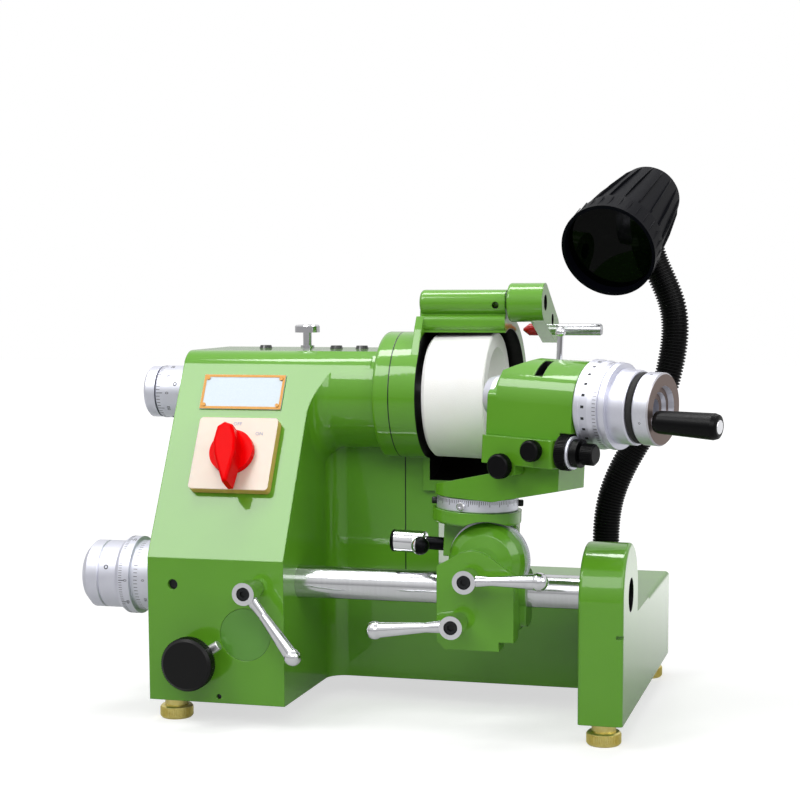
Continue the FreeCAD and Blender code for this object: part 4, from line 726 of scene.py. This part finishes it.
# Swivel pointer and its screws: a small chromed pointer held on the scale ring, and two black thumb screws
# that clamp the ring.
mesh = disc_mesh("swivel_pointer", 3.2, 3.0, 24, 1.4, 0.6)
POINTER_TURN = math.radians(80)
mesh.transform(DRAWN @ swivel_axis @ Matrix.Rotation(POINTER_TURN, 4, "Z")
               @ Matrix.Translation((31.6, 0, 155.5)))
piece_from("swivel_pointer", mesh, "tilt", bright)
screws = []
for turn in (15, 195):
    screw = disc_mesh("ring_screw", 2.6, 4.2, 24, 1.2, 0.5)
    screw.transform(DRAWN @ swivel_axis @ Matrix.Rotation(math.radians(turn), 4, "Z")
                    @ Matrix.Translation((32.2, 0, 156)))
    screws.append(screw)
piece_from("ring_screws", joined("ring_screws", screws), "tilt", black_oxide)


# Switch: an ivory moulded plate whose sides, turned away from the front, are painted a deeper yellow as
# painted shade, a red pointer knob and small printed words. The name plate is bare etched aluminium with a
# gilt border and brass rivets.
LEAN = math.radians(29)
IVORY_MM = 11.1
PANEL_WAY = (0, -math.cos(LEAN), math.sin(LEAN))
PANEL = Matrix(((1, 0, 0, 0), (0, math.sin(LEAN), -math.cos(LEAN), 0),
                (0, math.cos(LEAN), math.sin(LEAN), 111), (0, 0, 0, 1)))
material, tree, shader, here = finish("ivory_melamine", Roughness=0.3, Subsurface_Weight=0.15,
                                      Subsurface_Scale=0.004)
# Painted shade: faces turned away from the panel's front are mixed to a deeper yellow.
facing = add(tree, "ShaderNodeNewGeometry")
front = add(tree, "ShaderNodeVectorMath", {"operation": "DOT_PRODUCT", 1: PANEL_WAY},
            {0: facing.outputs["Normal"]})
face = add(tree, "ShaderNodeMapRange", {1: 0.2, 2: 0.8}, {0: front.outputs["Value"]})
grain = add(tree, "ShaderNodeTexNoise", {"Scale": 1000.0 / IVORY_MM, "Detail": 2.0}, {"Vector": here})
ivory = add(tree, "ShaderNodeMix", {"data_type": "RGBA", 6: linear("#dfd2c2"), 7: linear("#d8cab8")},
            {0: grain.outputs[0]})
tone = add(tree, "ShaderNodeMix", {"data_type": "RGBA", 6: linear("#e2b566")},
           {0: face.outputs[0], 7: ivory.outputs[2]})
tree.links.new(tone.outputs[2], shader.inputs["Base Color"])
soft = add(tree, "ShaderNodeBevel", {"samples": 4, "Radius": 0.001})
tree.links.new(soft.outputs[0], shader.inputs["Normal"])
paint("switch_plate", material)
paint("switch_knob", mottled("red_moulded_plastic", "#e40004", "#ee0206", 14.0, 0.02, Roughness=0.24,
                             Specular_IOR_Level=0.03))
words = []
for text, x, up in (("OFF", 58, 109.5), ("ON", 77, 101.5)):
    mesh = figure_mesh(text, 2.9)
    mesh.transform(DRAWN @ PANEL @ Matrix.Translation((x, up, 8.0)))
    words.append(mesh)
ink = mottled("slate_blue_print", "#8a90b0", "#9aa0bd", 1.0, 0.0, Roughness=0.6)
piece_from("switch_words", joined("switch_words", words), "base", ink)

plate = mottled("etched_aluminium", "#b4c0c8", "#c4ced4", 1.2, 0.06, Metallic=0.2, Roughness=0.5)
paint("name_plate", plate)
gilt = mottled("gilt_border", "#a8742a", "#bf8a3a", 2.0, 0.1, Metallic=0.3, Roughness=0.45)
paint("plate_rivets", gilt)
PLATE_LEFT, PLATE_RIGHT, PLATE_FOOT, PLATE_TOP = 20.7, 88.3, 125.7, 155.3
BORDER = 2.0
rings = [[(PLATE_LEFT + b, PLATE_FOOT + b), (PLATE_RIGHT - b, PLATE_FOOT + b),
          (PLATE_RIGHT - b, PLATE_TOP - b), (PLATE_LEFT + b, PLATE_TOP - b)] for b in (0, BORDER)]
corners = [(x, up, out) for out in (1.15, 1.5) for ring in rings for x, up in ring]
faces = []
for k in range(4):
    n = (k + 1) % 4
    faces += [(8 + k, 8 + n, 12 + n, 12 + k), (k, n, 8 + n, 8 + k), (12 + k, 12 + n, 4 + n, 4 + k),
              (4 + k, 4 + n, n, k)]
mesh = bpy.data.meshes.new("name_plate_border")
mesh.from_pydata(corners, [], faces)
mesh.transform(DRAWN @ PANEL)
piece_from("name_plate_border", mesh, "base", gilt)


# Oil plugs, set screws and cover screws: blackened plugs pressed in the casting, and zinc-plated screws that
# hold the rear cover. The round core plug in the front is painted over with the casting.
PLUG_CLOUD_MM = 25.0
COVER_FACE = 275.68
COVER_SCREWS = [(x, z) for x in (12, 88, 164) for z in (10, 112)]
material, tree, shader, here = finish("plugs_black_or_painted", Roughness=0.3, Coat_Weight=0.5,
                                      Coat_Roughness=0.05)
where = add(tree, "ShaderNodeSeparateXYZ", {}, {0: here})
low = add(tree, "ShaderNodeMath", {"operation": "LESS_THAN", 1: drawn(0, 0, 150).z}, {0: where.outputs[2]})
cloud = add(tree, "ShaderNodeTexNoise", {"Scale": 1000.0 / PLUG_CLOUD_MM, "Detail": 2.0}, {"Vector": here})
green = add(tree, "ShaderNodeMix", {"data_type": "RGBA", 6: linear("#528f2a"), 7: linear("#5a9830")},
            {0: cloud.outputs[0]})
tone = add(tree, "ShaderNodeMix", {"data_type": "RGBA", 6: linear("#1a1c1c")},
           {0: low.outputs[0], 7: green.outputs[2]})
tree.links.new(tone.outputs[2], shader.inputs["Base Color"])
paint("casting_plugs", material)
paint("set_screws", black_oxide)
paint("cover_screws", zinc)
# The cross recesses of the cover screws are thin black bars laid on their heads: painted shade of the
# recesses.
slots = []
for x, z in COVER_SCREWS:
    for turn in (0, math.pi / 2):
        bar = block_mesh("cross_slot", 4.4, 0.9, 0.2)
        bar.transform(DRAWN @ axis_frame((x, COVER_FACE, z), (0, 1, 0)) @ Matrix.Rotation(turn, 4, "Z"))
        slots.append(bar)
piece_from("cover_screw_slots", joined("cover_screw_slots", slots), "base", black_oxide)


# Levelling feet: turned brass pads with a knurled rim, screwed up into the casting. Bare yellow metal with
# the soft shine that turning leaves.
FEET = [(13.0, 22.0), (350.5, 20.0), (14.0, 256.0), (351.0, 255.0)]
FOOT_RADIUS = 12.5
brass = mottled("turned_yellow_brass", "#dcc96c", "#f2e69c", 3.0, 0.2, Metallic=0.9, Roughness=0.32)
paint("levelling_feet", brass)
rims = []
for x, y in FEET:
    ridge = block_mesh("foot_knurl", 0.9, 0.9, 6.6, 0.35)
    rims.append(spaced_mesh("foot_knurl", ridge, brass, 56, FOOT_RADIUS, axis_frame((x, y, -13), (0, 0, 1))))
piece_from("foot_knurls", joined("foot_knurls", rims), "base", brass)


# Lamp: a black moulded head on a ribbed gooseneck. Thin cooling ribs run along the shell, the hood ring is
# finely fluted, and a smoky glass covers a small reflector bulb. A fine moulded grain breaks up the shine.
HAZE_MM = 33.3
moulded = mottled("grained_black_nylon", "#030308", "#07080f", 0.8, 0.16, Roughness=0.42,
                  Specular_IOR_Level=0.04)
for node in ("lamp_base", "lamp_head", "lamp_rim"):
    paint(node, moulded)
paint("gooseneck", mottled("matt_black_hose", "#040405", "#080809", 3.0, 0.08, Roughness=0.4,
                           Specular_IOR_Level=0.13))
material, tree, shader, here = finish("smoked_lamp_glass", Roughness=0.03, Specular_IOR_Level=0.02,
                                      Transmission_Weight=0.12)
haze = add(tree, "ShaderNodeTexNoise", {"Scale": 1000.0 / HAZE_MM}, {"Vector": here})
tone = add(tree, "ShaderNodeMix", {"data_type": "RGBA", 6: linear("#010201"), 7: linear("#020403")},
           {0: haze.outputs[0]})
tree.links.new(tone.outputs[2], shader.inputs["Base Color"])
paint("lamp_lens", material)
paint("lamp_bulb", mottled("smoked_bulb_glass", "#101210", "#181b19", 8.0, 0.02, Roughness=0.12))
LAMP_FRONT = Vector((335.3, 118.0, 343.1))
LAMP_BACK = Vector((354.5, 213.0, 389.9))
lamp_axis = axis_frame(LAMP_FRONT, LAMP_BACK - LAMP_FRONT)
LAMP_LENGTH = (LAMP_BACK - LAMP_FRONT).length
RIBS = 18
FLUTES = 30
RIB_ROOT = 0.9
RIB_CREST = 0.55
side = [(23.0, 33.6), (23.0, 34.4), (30.0, 35.3), (60.0, 32.8), (LAMP_LENGTH - 14, 28.2),
        (LAMP_LENGTH - 4, 25.7), (LAMP_LENGTH - 4, 25.0)]
mean = sum(r for s, r in side) / len(side)
rib = bpy.data.meshes.new("lamp_rib")
count = len(side)
corners = [(r - mean, y * (1 if k in (0, count - 1) else RIB_CREST), s)
           for y in (-RIB_ROOT, RIB_ROOT) for k, (s, r) in enumerate(side)]
faces = [tuple(range(count)), tuple(range(2 * count - 1, count - 1, -1))]
faces += [(k, k + count, (k + 1) % count + count, (k + 1) % count) for k in range(count)]
rib.from_pydata(corners, [], faces)
mesh = spaced_mesh("lamp_ribs", rib, moulded, RIBS, mean, lamp_axis, 0.1)
piece_from("lamp_ribs", mesh, "base")
flute = block_mesh("rim_flute", 0.5, 1.6, 15.0, 0.5)
mesh = spaced_mesh("rim_flutes", flute, moulded, FLUTES, 37.3, lamp_axis @ Matrix.Translation((0, 0, 11)))
piece_from("rim_flutes", mesh, "base")
